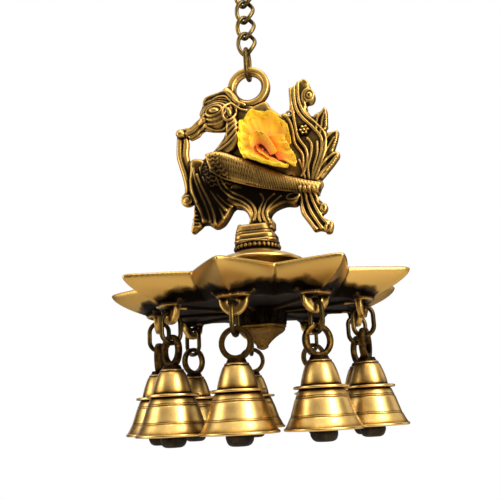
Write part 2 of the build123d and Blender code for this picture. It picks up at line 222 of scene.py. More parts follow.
def remeshed(shape, voxel, smoothing=2):
    # melts overlapping shapes into one casting with soft corners
    verts, faces = shape
    mesh = bpy.data.meshes.new("rough")
    mesh.from_pydata(verts.tolist(), [], faces)
    rough = bpy.data.objects.new("rough", mesh)
    bpy.context.scene.collection.objects.link(rough)
    modifier = rough.modifiers.new("melt", "REMESH")
    modifier.mode = "VOXEL"
    modifier.voxel_size = voxel
    bpy.context.view_layer.update()
    ready = rough.evaluated_get(bpy.context.evaluated_depsgraph_get()).to_mesh()
    verts = np.zeros(len(ready.vertices) * 3)
    ready.vertices.foreach_get("co", verts)
    verts = verts.reshape(-1, 3)
    faces = [list(polygon.vertices) for polygon in ready.polygons]
    bpy.data.objects.remove(rough)
    edges = edgesOf(faces)
    for _ in range(smoothing):
        verts = verts + 0.55 * (neighbourMean(verts, edges) - verts)
    return verts, faces


def edgesOf(faces):
    edges = set()
    for face in faces:
        for a, b in zip(face, face[1:] + face[:1]):
            edges.add((a, b) if a < b else (b, a))
    return np.array(sorted(edges))


def neighbourMean(values, edges):
    total = np.zeros_like(values)
    count = np.zeros(len(values))
    for a, b in ((0, 1), (1, 0)):
        count += np.bincount(edges[:, a], minlength=len(values))
        for axis in range(values.shape[1]):
            total[:, axis] += np.bincount(edges[:, a], values[edges[:, b], axis], len(values))
    return total / np.maximum(count, 1)[:, None]


def reliefOf(shape, depths=((8, 0.10), (40, 0.35))):
    # 0 in the recesses, 0.5 on even ground and 1 on the ridges
    verts, faces = shape
    edges = edgesOf(faces)
    mesh = bpy.data.meshes.new("normals")
    mesh.from_pydata(verts.tolist(), [], faces)
    normals = np.zeros(len(verts) * 3)
    mesh.vertices.foreach_get("normal", normals)
    bpy.data.meshes.remove(mesh)
    normals = normals.reshape(-1, 3)
    relief = np.zeros(len(verts))
    soft, done = verts.copy(), 0
    for rounds, height in depths:
        while done < rounds:
            soft = neighbourMean(soft, edges)
            done += 1
        relief += np.clip(((verts - soft) * normals).sum(1) / height, -1, 1)
    return 0.5 + 0.5 * relief / len(depths)


def addPiece(name, shape, material, body, nodes=(), relief=0.6, polishAndPaintedLight=0.5, crease=40):
    verts, faces = shape
    mesh = bpy.data.meshes.new(name)
    world = np.array(verts) * mm + np.array((0, 0, rimLevel))
    mesh.from_pydata(world.tolist(), [], faces)
    mesh.validate()
    mesh.shade_smooth()
    if crease:
        mesh.set_sharp_from_angle(angle=math.radians(crease))
    for label, value in (("relief", relief), ("polishAndPaintedLight", polishAndPaintedLight)):
        attribute = mesh.attributes.new(label, "FLOAT", "POINT")
        values = np.broadcast_to(np.array(value, float), (len(verts),))
        attribute.data.foreach_set("value", values.astype(np.float32))
    piece = bpy.data.objects.new(name, mesh)
    bpy.context.scene.collection.objects.link(piece)
    mesh.materials.append(material)
    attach(piece, body)
    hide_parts(*nodes)
    return piece


def toLinear(hexColour):
    parts = [int(hexColour[i:i + 2], 16) / 255 for i in (1, 3, 5)]
    return (*[p / 12.92 if p <= 0.04045 else ((p + 0.055) / 1.055) ** 2.4 for p in parts], 1)


def addNode(tree, kind, settings=None, **links):
    # adds a node, sets its properties and its inputs: a value, or another node's output
    node = tree.nodes.new(kind)
    for key, value in (settings or {}).items():
        setattr(node, key, value)
    for key, value in links.items():
        socket = node.inputs[int(key[1:])] if key[0] == "i" and key[1:].isdigit() \
            else node.inputs[key.replace("_", " ")]
        if isinstance(value, bpy.types.NodeSocket):
            tree.links.new(value, socket)
        else:
            socket.default_value = value
    return node


def rampOf(tree, factor, *stops):
    # stops are a place from 0 to 1 and a hex colour, or a plain grey value
    node = addNode(tree, "ShaderNodeValToRGB", i0=factor)
    ramp = node.color_ramp
    while len(ramp.elements) < len(stops):
        ramp.elements.new(0.5)
    for element, (place, colour) in zip(ramp.elements, stops):
        element.position = place
        element.color = toLinear(colour) if isinstance(colour, str) else (colour,) * 3 + (1,)
    return node.outputs[0]


def newMaterial(name):
    material = bpy.data.materials.new(name)
    material.use_nodes = True
    tree = material.node_tree
    tree.nodes.clear()
    shader = addNode(tree, "ShaderNodeBsdfPrincipled")
    output = addNode(tree, "ShaderNodeOutputMaterial")
    tree.links.new(shader.outputs[0], output.inputs[0])
    place = addNode(tree, "ShaderNodeTexCoord").outputs["Object"]
    return material, tree, shader, place


def perMillimetre(size):
    # noise scale, per metre, whose grains are about this many millimetres wide
    return 1 / (size * mm)


brassValues = {
    # cast and left with its casting skin: brown in the hollows, rubbed gold on the ridges
    "castBrass": {
        "hollow": "#0C0703", "ground": "#503A1B", "ridge": "#BE944C",
        "roughLow": 0.34, "roughHigh": 0.60, "grain": 0.55, "grainDepth": 0.00012,
        "blotch": 7.0, "lines": 0.0, "polishAndPaintedLightLift": 0.22,
    },
    # turned on a lathe and buffed: yellow, with fine rings and brown in the grooves
    "turnedBrass": {
        "hollow": "#1A0E05", "ground": "#9A7030", "ridge": "#DDB468",
        "roughLow": 0.31, "roughHigh": 0.45, "grain": 0.9, "grainDepth": 0.000012,
        "blotch": 9.0, "lines": 0.00003, "polishAndPaintedLightLift": 0.15,
    },
    # drawn wire, darkened with age: olive brown with yellow where links rub
    "wireBrass": {
        "hollow": "#120C05", "ground": "#4E3C1C", "ridge": "#A98A4C",
        "roughLow": 0.28, "roughHigh": 0.5, "grain": 0.7, "grainDepth": 0.00003,
        "blotch": 4.0, "lines": 0.0, "polishAndPaintedLightLift": 0.2,
    },
}


def brass(name):
    v = brassValues[name]
    material, tree, shader, place = newMaterial(name)
    relief = addNode(tree, "ShaderNodeAttribute", {"attribute_name": "relief"}).outputs["Fac"]
    polishAndPaintedLight = addNode(tree, "ShaderNodeAttribute", {"attribute_name": "polishAndPaintedLight"}).outputs["Fac"]
    blotch = addNode(tree, "ShaderNodeTexNoise", Vector=place,
                     Scale=perMillimetre(v["blotch"]), Detail=5.0, Roughness=0.6).outputs[0]
    speck = addNode(tree, "ShaderNodeTexNoise", Vector=place,
                    Scale=perMillimetre(v["grain"] * 1.6), Detail=3.0, Roughness=0.65).outputs[0]
    # tarnish sits where the relief is low, broken up by blotches and specks
    spread = addNode(tree, "ShaderNodeMath", {"operation": "MULTIPLY_ADD"},
                     i0=blotch, i1=0.34, i2=relief).outputs[0]
    spread = addNode(tree, "ShaderNodeMath", {"operation": "MULTIPLY_ADD"},
                     i0=speck, i1=0.22, i2=spread).outputs[0]
    # the polish attribute lifts colour and gloss: real buffing on the turned parts, painted light
    # on the tray's lit band, and painted shade where it is low on the peacock
    lift = addNode(tree, "ShaderNodeMath", {"operation": "MULTIPLY_ADD"},
                   i0=polishAndPaintedLight, i1=v["polishAndPaintedLightLift"], i2=-0.28 - v["polishAndPaintedLightLift"] / 2).outputs[0]
    wearAndPaintedLight = addNode(tree, "ShaderNodeMath", {"operation": "ADD", "use_clamp": True},
                   i0=spread, i1=lift).outputs[0]
    colour = rampOf(tree, wearAndPaintedLight, (0.18, v["hollow"]), (0.50, v["ground"]), (0.82, v["ridge"]))
    gloss = rampOf(tree, wearAndPaintedLight, (0.2, v["roughHigh"]), (0.75, v["roughLow"]))
    grain = addNode(tree, "ShaderNodeTexNoise", Vector=place,
                    Scale=perMillimetre(v["grain"]), Detail=2.0, Roughness=0.55).outputs[0]
    normal = addNode(tree, "ShaderNodeBump", Height=grain, Strength=0.6,
                     Distance=v["grainDepth"]).outputs[0]
    if v["lines"]:
        # tool marks of the lathe, drawn about 0.5 mm apart so that they can be seen
        split = addNode(tree, "ShaderNodeSeparateXYZ", i0=place).outputs[2]
        flat = addNode(tree, "ShaderNodeCombineXYZ", Z=split).outputs[0]
        rings = addNode(tree, "ShaderNodeTexNoise", Vector=flat, Scale=perMillimetre(0.5),
                        Detail=3.0, Roughness=0.7).outputs[0]
        normal = addNode(tree, "ShaderNodeBump", Height=rings, Strength=0.5,
                         Distance=v["lines"], Normal=normal).outputs[0]
    for socket, value in (("Base Color", colour), ("Roughness", gloss), ("Normal", normal)):
        tree.links.new(value, shader.inputs[socket])
    shader.inputs["Metallic"].default_value = 1.0
    return material


ironValues = {"skin": "#17120B", "ground": "#2C2317", "rust": "#4A3520", "grain": 0.8}


def castIron():
    # sand cast and unpainted: near black, matt and pitted, a little brown where it rusts
    v = ironValues
    material, tree, shader, place = newMaterial("castIron")
    pits = addNode(tree, "ShaderNodeTexNoise", Vector=place, Scale=perMillimetre(v["grain"]),
                   Detail=4.0, Roughness=0.65).outputs[0]
    patches = addNode(tree, "ShaderNodeTexNoise", Vector=place, Scale=perMillimetre(5),
                      Detail=3.0).outputs[0]
    colour = rampOf(tree, patches, (0.3, v["skin"]), (0.55, v["ground"]), (0.75, v["rust"]))
    gloss = rampOf(tree, pits, (0.3, 0.45), (0.7, 0.75))
    normal = addNode(tree, "ShaderNodeBump", Height=pits, Strength=0.8, Distance=0.00025).outputs[0]
    for socket, value in (("Base Color", colour), ("Roughness", gloss), ("Normal", normal)):
        tree.links.new(value, shader.inputs[socket])
    shader.inputs["Metallic"].default_value = 0.85
    return material


petalValues = {"rim": "#FAD21C", "blade": "#F9B208", "heart": "#E26400"}


def marigoldPetal():
    # thin living petal: matt yellow, deep orange towards the heart, faint veins along it
    v = petalValues
    material, tree, shader, place = newMaterial("marigoldPetal")
    heart = addNode(tree, "ShaderNodeAttribute", {"attribute_name": "relief"}).outputs["Fac"]
    patches = addNode(tree, "ShaderNodeTexNoise", Vector=place, Scale=perMillimetre(6),
                      Detail=3.0).outputs[0]
    mixed = addNode(tree, "ShaderNodeMath", {"operation": "MULTIPLY_ADD"},
                    i0=patches, i1=0.35, i2=heart).outputs[0]
    mixed = addNode(tree, "ShaderNodeMath", {"operation": "SUBTRACT"}, i0=mixed, i1=0.17).outputs[0]
    colour = rampOf(tree, mixed, (0.02, v["heart"]), (0.38, v["blade"]), (0.8, v["rim"]))
    veins = addNode(tree, "ShaderNodeAttribute", {"attribute_name": "polishAndPaintedLight"}).outputs["Fac"]
    lines = addNode(tree, "ShaderNodeMath", {"operation": "SINE"},
                    i0=addNode(tree, "ShaderNodeMath", {"operation": "MULTIPLY"},
                               i0=veins, i1=60.0).outputs[0]).outputs[0]
    normal = addNode(tree, "ShaderNodeBump", Height=lines, Strength=0.4, Distance=0.0001).outputs[0]
    for socket, value in (("Base Color", colour), ("Normal", normal)):
        tree.links.new(value, shader.inputs[socket])
    for socket, value in (("Roughness", 0.6), ("Subsurface Weight", 0.08),
                          ("Subsurface Scale", 0.001), ("Sheen Weight", 0.15)):
        shader.inputs[socket].default_value = value
    return material


castSkin = brass("castBrass")
turnedSkin = brass("turnedBrass")
wireSkin = brass("wireBrass")
ironSkin = castIron()
petalSkin = marigoldPetal()
print("materials ready")


trayShape = {
    "petals": 9, "tip": 80.0, "notch": 58.0, "depth": 13.0, "floor": 2.2,
    "tipFall": 0.319, "notchFall": 0.160, "power": 1.66,
    "tipWall": 3.4, "notchWall": 2.6, "tipRound": 0.10, "belly": 2.0,
    "lipRise": 0.9, "beadRadius": 0.75, "voxel": 0.55,
}


def petalAngle(index):
    return -90 + index * 360 / trayShape["petals"]


def starRing(drop, inset, level, steps=22):
    # one closed outline of the star, drop below the rim, moved in by inset (0 to 1 wall)
    v = trayShape
    half = math.radians(180 / v["petals"])
    tip = v["tip"] - v["tipFall"] * drop ** v["power"] - inset * v["tipWall"]
    notch = v["notch"] - v["notchFall"] * drop ** v["power"] - inset * v["notchWall"]
    ring = []
    for index in range(v["petals"]):
        turn = math.radians(petalAngle(index))
        for step in range(2 * steps):
            u = (step - steps) / steps
            e = v["tipRound"] * (1 - 0.55 * min(drop / v["depth"], 1))
            share = (math.hypot(u, e) - e) / (math.hypot(1, e) - e)
            out = tip + (notch * math.cos(half) - tip) * share
            out += v["belly"] * share * (1 - share) * (1 - drop / v["depth"] * 0.5)
            side = u * notch * math.sin(half)
            ring.append((out * math.cos(turn) - side * math.sin(turn),
                         out * math.sin(turn) + side * math.cos(turn), level))
    return ring


def trayBowl():
    v = trayShape
    rings = []
    base = starRing(v["depth"], 0, -v["depth"])
    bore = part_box("threaded_stud")[1].x / mm + 0.1
    for share in (0.0, 0.35, 0.7, 0.93):  # underside, from the bore outwards
        rings.append(shrunk(base, bore, share, -v["depth"]))
    for drop in np.linspace(v["depth"], 0.9, 15):
        rings.append(starRing(drop, 0, -drop))
    for angle in (0.4, 0.9, 1.4, 1.9, 2.4, 2.8):  # the rounded lip
        inset = 0.5 - 0.5 * math.cos(angle)
        rings.append(starRing(0.6, inset, v["lipRise"] * math.sin(angle) * 1.1 - 0.4))
    inner = v["depth"] - v["floor"]
    for drop in np.linspace(1.2, inner, 12):
        rings.append(starRing(drop, 1, -drop))
    floorRing = starRing(inner, 1, -inner)
    for share in (0.9, 0.6, 0.3, 0.0):
        rings.append(shrunk(floorRing, bore, share, -inner))
    verts = np.array([point for ring in rings for point in ring])
    return verts, ringFaces(len(rings), len(rings[0]), closed=True)


def shrunk(ring, bore, share, level):
    # the outline pulled in towards the round bore in the middle
    result = []
    for x, y, _ in ring:
        reach = math.hypot(x, y)
        wanted = bore + (reach - bore) * share
        result.append((x * wanted / reach, y * wanted / reach, level))
    return result


lugShape = {
    "radius": 54.5, "thickness": 3.2, "topHalf": 9.5, "round": 6.8, "hole": 2.5, "holeDrop": 15.5,
}


def lugPlate():
    # rounded ear with a hole, flaring into the petal's keel above it
    v = lugShape
    half, ear, drop = v["topHalf"], v["round"], v["holeDrop"]
    outline = [(-half, -10.9), (half, -10.9), (half * 0.93, -12.8), (ear + 0.4, -14.2), (ear, -16)]
    for angle in (-25, -60, -90, -120, -155):
        outline.append((ear * math.cos(math.radians(angle)),
                        -drop + ear * math.sin(math.radians(angle))))
    outline += [(-ear, -16), (-ear - 0.4, -14.2), (-half * 0.93, -12.8)]
    outer = smoothLine(outline, 64, closed=True)
    hole = [(v["hole"] * math.cos(2 * math.pi * step / 64 + math.pi * 0.75),
             -drop + v["hole"] * math.sin(2 * math.pi * step / 64 + math.pi * 0.75))
            for step in range(64)]
    order = np.argsort(-np.arctan2(outer[:, 1] + drop, outer[:, 0]))
    outer = outer[order]
    hole = np.array(hole)
    hole = hole[np.argsort(-np.arctan2(hole[:, 1] + drop, hole[:, 0]))]
    depth = v["thickness"] / 2
    rings = []
    for line, x in ((hole, -depth), (outer, -depth), (outer, depth), (hole, depth)):
        rings.append([(x, y, z) for y, z in line])
    verts = np.array([point for ring in rings for point in ring])
    return verts + np.array((v["radius"], 0, 0)), ringFaces(4, 64, closed=True)


def keelBead():
    # the casting seam that runs from the petal's tip down its keel to the lug
    v = trayShape
    points = []
    for drop in (0.6, 2.5, 4.5, 6.5, 8.5, 10.5, 12.0, 12.8):
        points.append((v["tip"] - v["tipFall"] * drop ** v["power"] - 0.35, 0, -drop))
    points.append((lugShape["radius"] + 1.0, 0, -13.6))
    return tube(smoothLine(points, 30), v["beadRadius"])


def lugBoss():
    # swelling where the petal's keel runs down into its lug
    return ball((lugShape["radius"] + 1.0, 0, -13.0), (5.6, 8.6, 1.7))


def trayWeb():
    # cast ribs under the tray: from the drum out to each lug
    points = [(14, 0, -13.4), (30, 0, -13.5), (44, 0, -13.5), (53, 0, -13.2)]
    return tube(smoothLine(points, 20), np.linspace(1.7, 1.3, 20))


def petalTray():
    parts = [trayBowl()]
    for index in range(trayShape["petals"]):
        for make in (lugPlate, lugBoss, keelBead, trayWeb):
            parts.append(turned(make(), petalAngle(index)))
    verts, faces = remeshed(joined(parts), trayShape["voxel"], 3)
    reach = np.hypot(verts[:, 0], verts[:, 1])
    # painted light and shade: the upper band of the wall is painted lit gold and glossier, reaching
    # lower down each keel as a painted highlight; below it the casting is painted in shade
    angle = np.arctan2(verts[:, 1], verts[:, 0])
    keel = np.maximum(np.cos(trayShape["petals"] * (angle + math.pi / 2)), 0) ** 2
    ripple = np.sin(verts[:, 0] * 0.31) * np.sin(verts[:, 1] * 0.27 + 1)
    ripple += 0.5 * np.sin(verts[:, 0] * 0.83 + 2) * np.sin(verts[:, 1] * 0.71)
    edge = -7.2 - 3.4 * keel + 0.9 * ripple - 0.05 * (reach - 62)
    litBand = np.clip((verts[:, 2] - edge) / 4.0 + 0.5, 0, 1)
    relief = reliefOf((verts, faces), ((6, 0.12), (30, 0.5)))
    relief = relief * (0.46 + 0.64 * litBand)
    # painted highlight: the lugs are painted much brighter, as glints
    lug = (verts[:, 2] < -13.4) & (reach > 46) & (reach < 62)
    relief = np.where(lug, relief * 1.9 + 0.08, relief)
    # painted shade: the inside of the bowl near the middle is painted darker
    relief = np.where((reach < 50) & (verts[:, 2] > -11.5), relief * 0.8, relief)
    addPiece("petalTray", (verts, faces), castSkin, "lamp",
             ["petal_tray"], relief + 0.18 * litBand, litBand * 2.0, crease=0)


def beadRow(radius, level, size, count, squash=1.0):
    return joined([turned(ball((radius, 0, level), (size, size, size * squash), rings=8),
                          index * 360 / count) for index in range(count)])


def centreStand():
    low, high = boxOf("centre_stand")
    rim = high.x
    outline = [(3.1, low.z), (17.0, low.z), (16.2, low.z + 1.5), (14.0, -6), (13.0, 0), (13.6, 5),
               (15.0, 7.2), (rim - 1.2, 11.0), (rim - 0.3, 11.5), (rim, 12.3), (rim - 0.3, 13.1),
               (rim - 1.3, 13.7), (21.5, 14.6), (19.2, 15.6), (18.8, 15.5), (17.0, 16.3),
               (14.2, high.z), (3.1, high.z)]
    fine = [tuple(point) for point in smoothLine(outline[6:17], 60)]
    outline = outline[:6] + fine + outline[17:]
    addPiece("centreStand", lathe(outline, 96, closed=True), turnedSkin, "lamp",
             ["centre_stand"], 0.72, 1.0)


def beadedCollar():
    low, high = boxOf("beaded_collar")
    outline = [(3.1, low.z), (13.9, low.z), (13.7, low.z + 0.6), (12.4, low.z + 1.5),
               (11.5, low.z + 2.4), (11.6, low.z + 4.9), (11.9, low.z + 5.2), (12.2, high.z - 0.7),
               (12.2, high.z), (3.1, high.z)]
    parts = [lathe(outline, 90, closed=True), beadRow(11.75, low.z + 3.7, 1.2, 30, 1.1)]
    verts, faces = remeshed(joined(parts), 0.3, 1)
    addPiece("beadedCollar", (verts, faces), castSkin, "lamp",
             ["beaded_collar"], reliefOf((verts, faces)) * 0.6, 0.5, crease=0)


def flutedDrum():
    low, high = boxOf("fluted_drum")
    top, bottom = high.x, 13.4

    def flute(angle, radius, level):
        if radius < 12:
            return 0
        wave = abs(math.sin(angle * 7))
        return -1.1 * wave ** 2.2 if low.z + 0.6 < level < high.z - 0.5 else 0

    outline = [(3.1, low.z), (bottom - 0.5, low.z), (bottom, low.z + 0.5), (bottom + 0.1,
        low.z + 0.9),
               (bottom + 0.5, low.z + 3), (bottom + 1.0, low.z + 5.5), (top, high.z - 0.9),
               (top, high.z - 0.4), (top - 0.4, high.z), (3.1, high.z)]
    # painted shade: the drum sits under the tray and is given a low relief and polish, so it is
    # painted dark
    addPiece("flutedDrum", lathe(outline, 168, closed=True, wave=flute), castSkin, "lamp",
             ["fluted_drum"], 0.24, 0.3, crease=50)


def finialNut():
    low, high = boxOf("finial_nut")
    outline = [(0, high.z - 5), (2.9, high.z - 5), (2.9, high.z), (12.6, high.z),
               (13.0, high.z - 0.5), (12.9, high.z - 1.2), (12.1, high.z - 1.8),
               (12.4, high.z - 2.4), (11.2, high.z - 3.8), (8.6, high.z - 5.4), (6.3, high.z - 7.1),
               (4.4, high.z - 8.9), (3.1, high.z - 10.4), (3.2, high.z - 11.0),
               (2.2, high.z - 11.9), (0.9, low.z + 0.1), (0, low.z)]
    fine = [tuple(point) for point in smoothLine(outline[3:16], 50)]
    # painted shade: the finial sits under the tray and is given a low relief and polish, so it is
    # painted dark
    addPiece("finialNut", lathe(outline[:3] + fine + outline[16:], 72), turnedSkin, "lamp",
             ["finial_nut"], 0.34, 0.3)


bellShape = {
    "radius": 54.5,  # lamp axis to the bell's axis
    "turns": 96,
    "eyeHole": 5.4, "eyeWall": 2.4, "eyeThick": 3.2,
    # outside, from the rim up: radius, height above the rim, relief
    "skirt": [(17.2, 0.0, .62), (17.7, 0.35, .7), (17.7, 1.1, .72), (17.05, 1.5, .4),
              (16.2, 2.9, .66), (15.0, 5.3, .68), (14.65, 5.75, .2), (14.55, 6.15, .6),
              (14.3, 6.6, .2), (14.3, 6.9, .7), (13.4, 9.6, .7), (12.2, 13.3, .7),
              (11.75, 13.9, .2), (11.75, 14.4, .6), (11.4, 14.9, .2), (11.35, 15.2, .66),
              (10.6, 17.0, .35), (10.0, 17.8, .0)],
    "flange": [(11.9, 17.85, .3), (12.4, 18.1, .8), (12.5, 18.5, .85), (12.3, 18.95, .8),
               (11.6, 19.15, .6), (9.6, 19.3, .1), (9.1, 19.7, .05), (9.0, 20.2, .3)],
    "crown": [(8.9, 21.0, .5), (8.4, 23.0, .62), (7.7, 25.3, .66), (6.9, 27.5, .62),
              (6.2, 29.0, .5), (5.6, 29.6, .05), (5.7, 30.0, .5), (5.4, 30.4, .55),
              (4.9, 30.7, .3)],
}


def bellBody(rimLevelHere, neckTop):
    v = bellShape
    outside = v["skirt"] + v["flange"] + v["crown"]
    fine = smoothLine(outside, 170)
    levels = [(r, z + rimLevelHere, shade) for r, z, shade in fine]
    # painted shade: the inside is painted darker from the mouth up into the crown
    inside = [(3.0, 26.0, .2), (6.2, 23.2, .2), (7.2, 19.5, .25), (8.5, 17.6, .3),
              (10.4, 13.0, .35), (12.4, 8.0, .4), (14.6, 4.0, .45), (16.0, 0.2, .5)]
    inner = [(r, z + rimLevelHere, shade) for r, z, shade in smoothLine(inside, 46)]
    outline = [(0, rimLevelHere + 26.0, .2)] + inner + levels + [(0, neckTop, .4)]
    verts, faces = lathe([(r, z) for r, z, _ in outline], v["turns"])
    relief = []
    for radius, _, shade in outline:
        relief += [shade] * (1 if radius < 1e-6 else v["turns"])
    return (verts, faces), relief


def bellEye(centre):
    # a rounded ring, its face square to the petal's direction
    v = bellShape
    middle, half = v["eyeHole"] + v["eyeWall"] / 2, v["eyeWall"] / 2
    verts = []
    rows, sides = 56, 14
    for row in range(rows):
        angle = 2 * math.pi * row / rows
        foot = max(0.0, -math.sin(angle)) ** 3
        for side in range(sides):
            around = 2 * math.pi * side / sides
            boxy = 1 / max(abs(math.cos(around)), abs(math.sin(around))) ** 0.7
            out = middle + half * math.cos(around) * boxy * (1 + 0.12 * foot)
            depth = v["eyeThick"] / 2 * math.sin(around) * boxy * (1 + 0.25 * foot)
            verts.append((depth, out * math.cos(angle), centre + out * math.sin(angle)))
    return np.array(verts), ringFaces(rows, sides, closed=True)


def wireLoop(half, wire, low, high, steps):
    # sideways and up along a wire loop with round ends and straight sides
    path = []
    for step in range(steps):
        angle = 2 * math.pi * step / steps
        level = (high.z - wire - half) if math.sin(angle) > 0 else (low.z + wire + half)
        path.append((half * math.cos(angle), level + half * math.sin(angle)))
    return path


ringShape = {"wire": 1.15, "half": 5.15, "steps": 64}


def bells():
    v = bellShape
    for index in range(trayShape["petals"]):
        number = index + 1
        low, high = boxOf(f"bell_{number}")
        eyeCentre = high.z - v["eyeHole"] - v["eyeWall"]
        (verts, faces), relief = bellBody(low.z, low.z + 30.9)
        neck = lathe([(0, low.z + 30.0), (5.0, low.z + 30.2), (4.5, low.z + 31.2),
                      (4.0, low.z + 32.4), (0, low.z + 32.9)], 40)
        eye = bellEye(eyeCentre)
        shape = joined([(verts, faces), neck, eye])
        shades = relief + [0.15] * len(neck[0]) + [0.26] * len(eye[0])
        buffed = [1.0] * len(verts) + [0.3] * (len(neck[0]) + len(eye[0]))
        place = turned(shape, petalAngle(index), v["radius"])
        addPiece(f"bell{number}", place, turnedSkin, f"bell_{number}",
                 [f"bell_{number}"], shades, buffed, crease=32)


def bellRings():
    v = ringShape
    wire, steps = v["wire"], v["steps"]
    for index in range(trayShape["petals"]):
        number = index + 1
        low, high = boxOf(f"bell_ring_{number}")
        path = [(x, 0, z) for x, z in wireLoop(v["half"], wire, low, high, steps)]
        thick = wire * (1 + 0.03 * np.sin(np.arange(steps) * 0.61 + number))
        ring = tube(path, thick, closed=True, sides=14)
        ring = turned(ring, petalAngle(index), lugShape["radius"])
        shade = 0.42 + 0.12 * np.sin(np.repeat(np.arange(steps), 14) * 0.29 + number * 1.7)
        addPiece(f"bellRing{number}", ring, wireSkin, f"ring_{number}",
                 [f"bell_ring_{number}"], shade, 0.4, crease=0)


def clappers():
    for index in range(trayShape["petals"]):
        number = index + 1
        low, high = boxOf(f"clapper_{number}")
        eyeMiddle = high.z - 3.0
        ringPath = [(2.3 * math.cos(2 * math.pi * step / 28), 0,
                     eyeMiddle + 2.3 * math.sin(2 * math.pi * step / 28)) for step in range(28)]
        eye = tube(ringPath, 0.68, closed=True, sides=10)
        stem = tube([(0, 0, eyeMiddle - 2.3), (0, 0, low.z + 16), (0, 0, low.z + 9)], 0.7, sides=10)
        bottom = low.z
        outline = [(0, bottom + 0.3), (1.5, bottom), (3.6, bottom + 0.1), (5.1, bottom + 0.9),
                   (6.0, bottom + 2.6), (6.15, bottom + 4.2), (5.5, bottom + 6.2),
                   (4.1, bottom + 8.3), (2.7, bottom + 9.7), (1.5, bottom + 10.8), (0, bottom + 11)]
        lump = number * 0.7

        def rough(angle, radius, level):
            bump = math.sin(angle * 3 + lump) * 0.35 + math.sin(angle * 5 + level) * 0.3
            return 0.13 * radius * bump * 0.35

        fine = [tuple(point) for point in smoothLine(outline[1:-1], 26)]
        knob = lathe([outline[0]] + fine + [outline[-1]], 40, wave=rough)
        shape = turned(joined([eye, stem, knob]), petalAngle(index), bellShape["radius"])
        addPiece(f"clapper{number}", shape, ironSkin, f"clapper_{number}",
                 [f"clapper_{number}"], 0.4, 0.2)

        low, high = boxOf(f"clapper_staple_{number}")
        bar = low.z + 0.75
        bow = [(0, -2.9, high.z), (0, -2.9, bar + 2.2), (0, -2.7, bar + 0.9), (0, -1.6, bar + 0.08),
               (0, 0, bar), (0, 1.6, bar + 0.08), (0, 2.7, bar + 0.9), (0, 2.9, bar + 2.2),
               (0, 2.9, high.z)]
        wire = turned(tube(smoothLine(bow, 40), 0.74), petalAngle(index), bellShape["radius"])
        addPiece(f"clapperStaple{number}", wire, wireSkin, f"bell_{number}",
                 [f"clapper_staple_{number}"], 0.3, 0.2)


chainShape = {"links": 4, "wire": 1.2, "half": 4.9, "twist": 42.0}


def chain():
    v = chainShape
    for number in range(1, v["links"] + 1):
        low, high = boxOf(f"chain_link_{number}")
        middle, half = (low.z + high.z) / 2, (high.z - low.z) / 2 - v["wire"]
        path, flat = [], []
        for step in range(72):
            angle = 2 * math.pi * step / 72
            turn = math.radians(v["twist"]) * math.sin(angle)
            out = v["half"] * math.cos(angle)
            path.append((out * math.cos(turn), out * math.sin(turn),
                         middle + half * math.sin(angle)))
            flat.append(v["wire"] * (1.0 + 0.02 * math.sin(angle * 5 + number)))
        # painted light: each link is painted brighter along its long sides as a highlight, and
        # darker at its ends where the links meet, as shade
        shade = 0.45 + 0.2 * np.abs(np.cos(np.repeat(np.arange(72), 16) * 2 * math.pi / 72))
        addPiece(f"chainLink{number}", tube(path, flat, closed=True, sides=16), wireSkin,
                 f"link_{number}", [f"chain_link_{number}"], shade, 0.4, crease=0)
    low, high = boxOf("long_link")
    wire = v["wire"]
    path = [(0, y, z) for y, z in wireLoop(high.y - wire, wire, low, high, 80)]
    addPiece("longLink", tube(path, wire, closed=True, sides=16), wireSkin, "coupling",
             ["long_link"], 0.55, 0.4, crease=0)


petalTray()
centreStand()
beadedCollar()
flutedDrum()
finialNut()
print("lamp pieces ready")
bells()
bellRings()
clappers()
print("bells ready")
chain()
print("chain ready")


# Outlines and ridges of the casting as x and z, drawn on its broad side. Ridges are laid on
# both faces: draped finds the ground under them and sinks each one by its own depth.

birdShape = {"ground": 0.5, "voxel": 0.36, "smoothing": 2, "shift": 1.4}

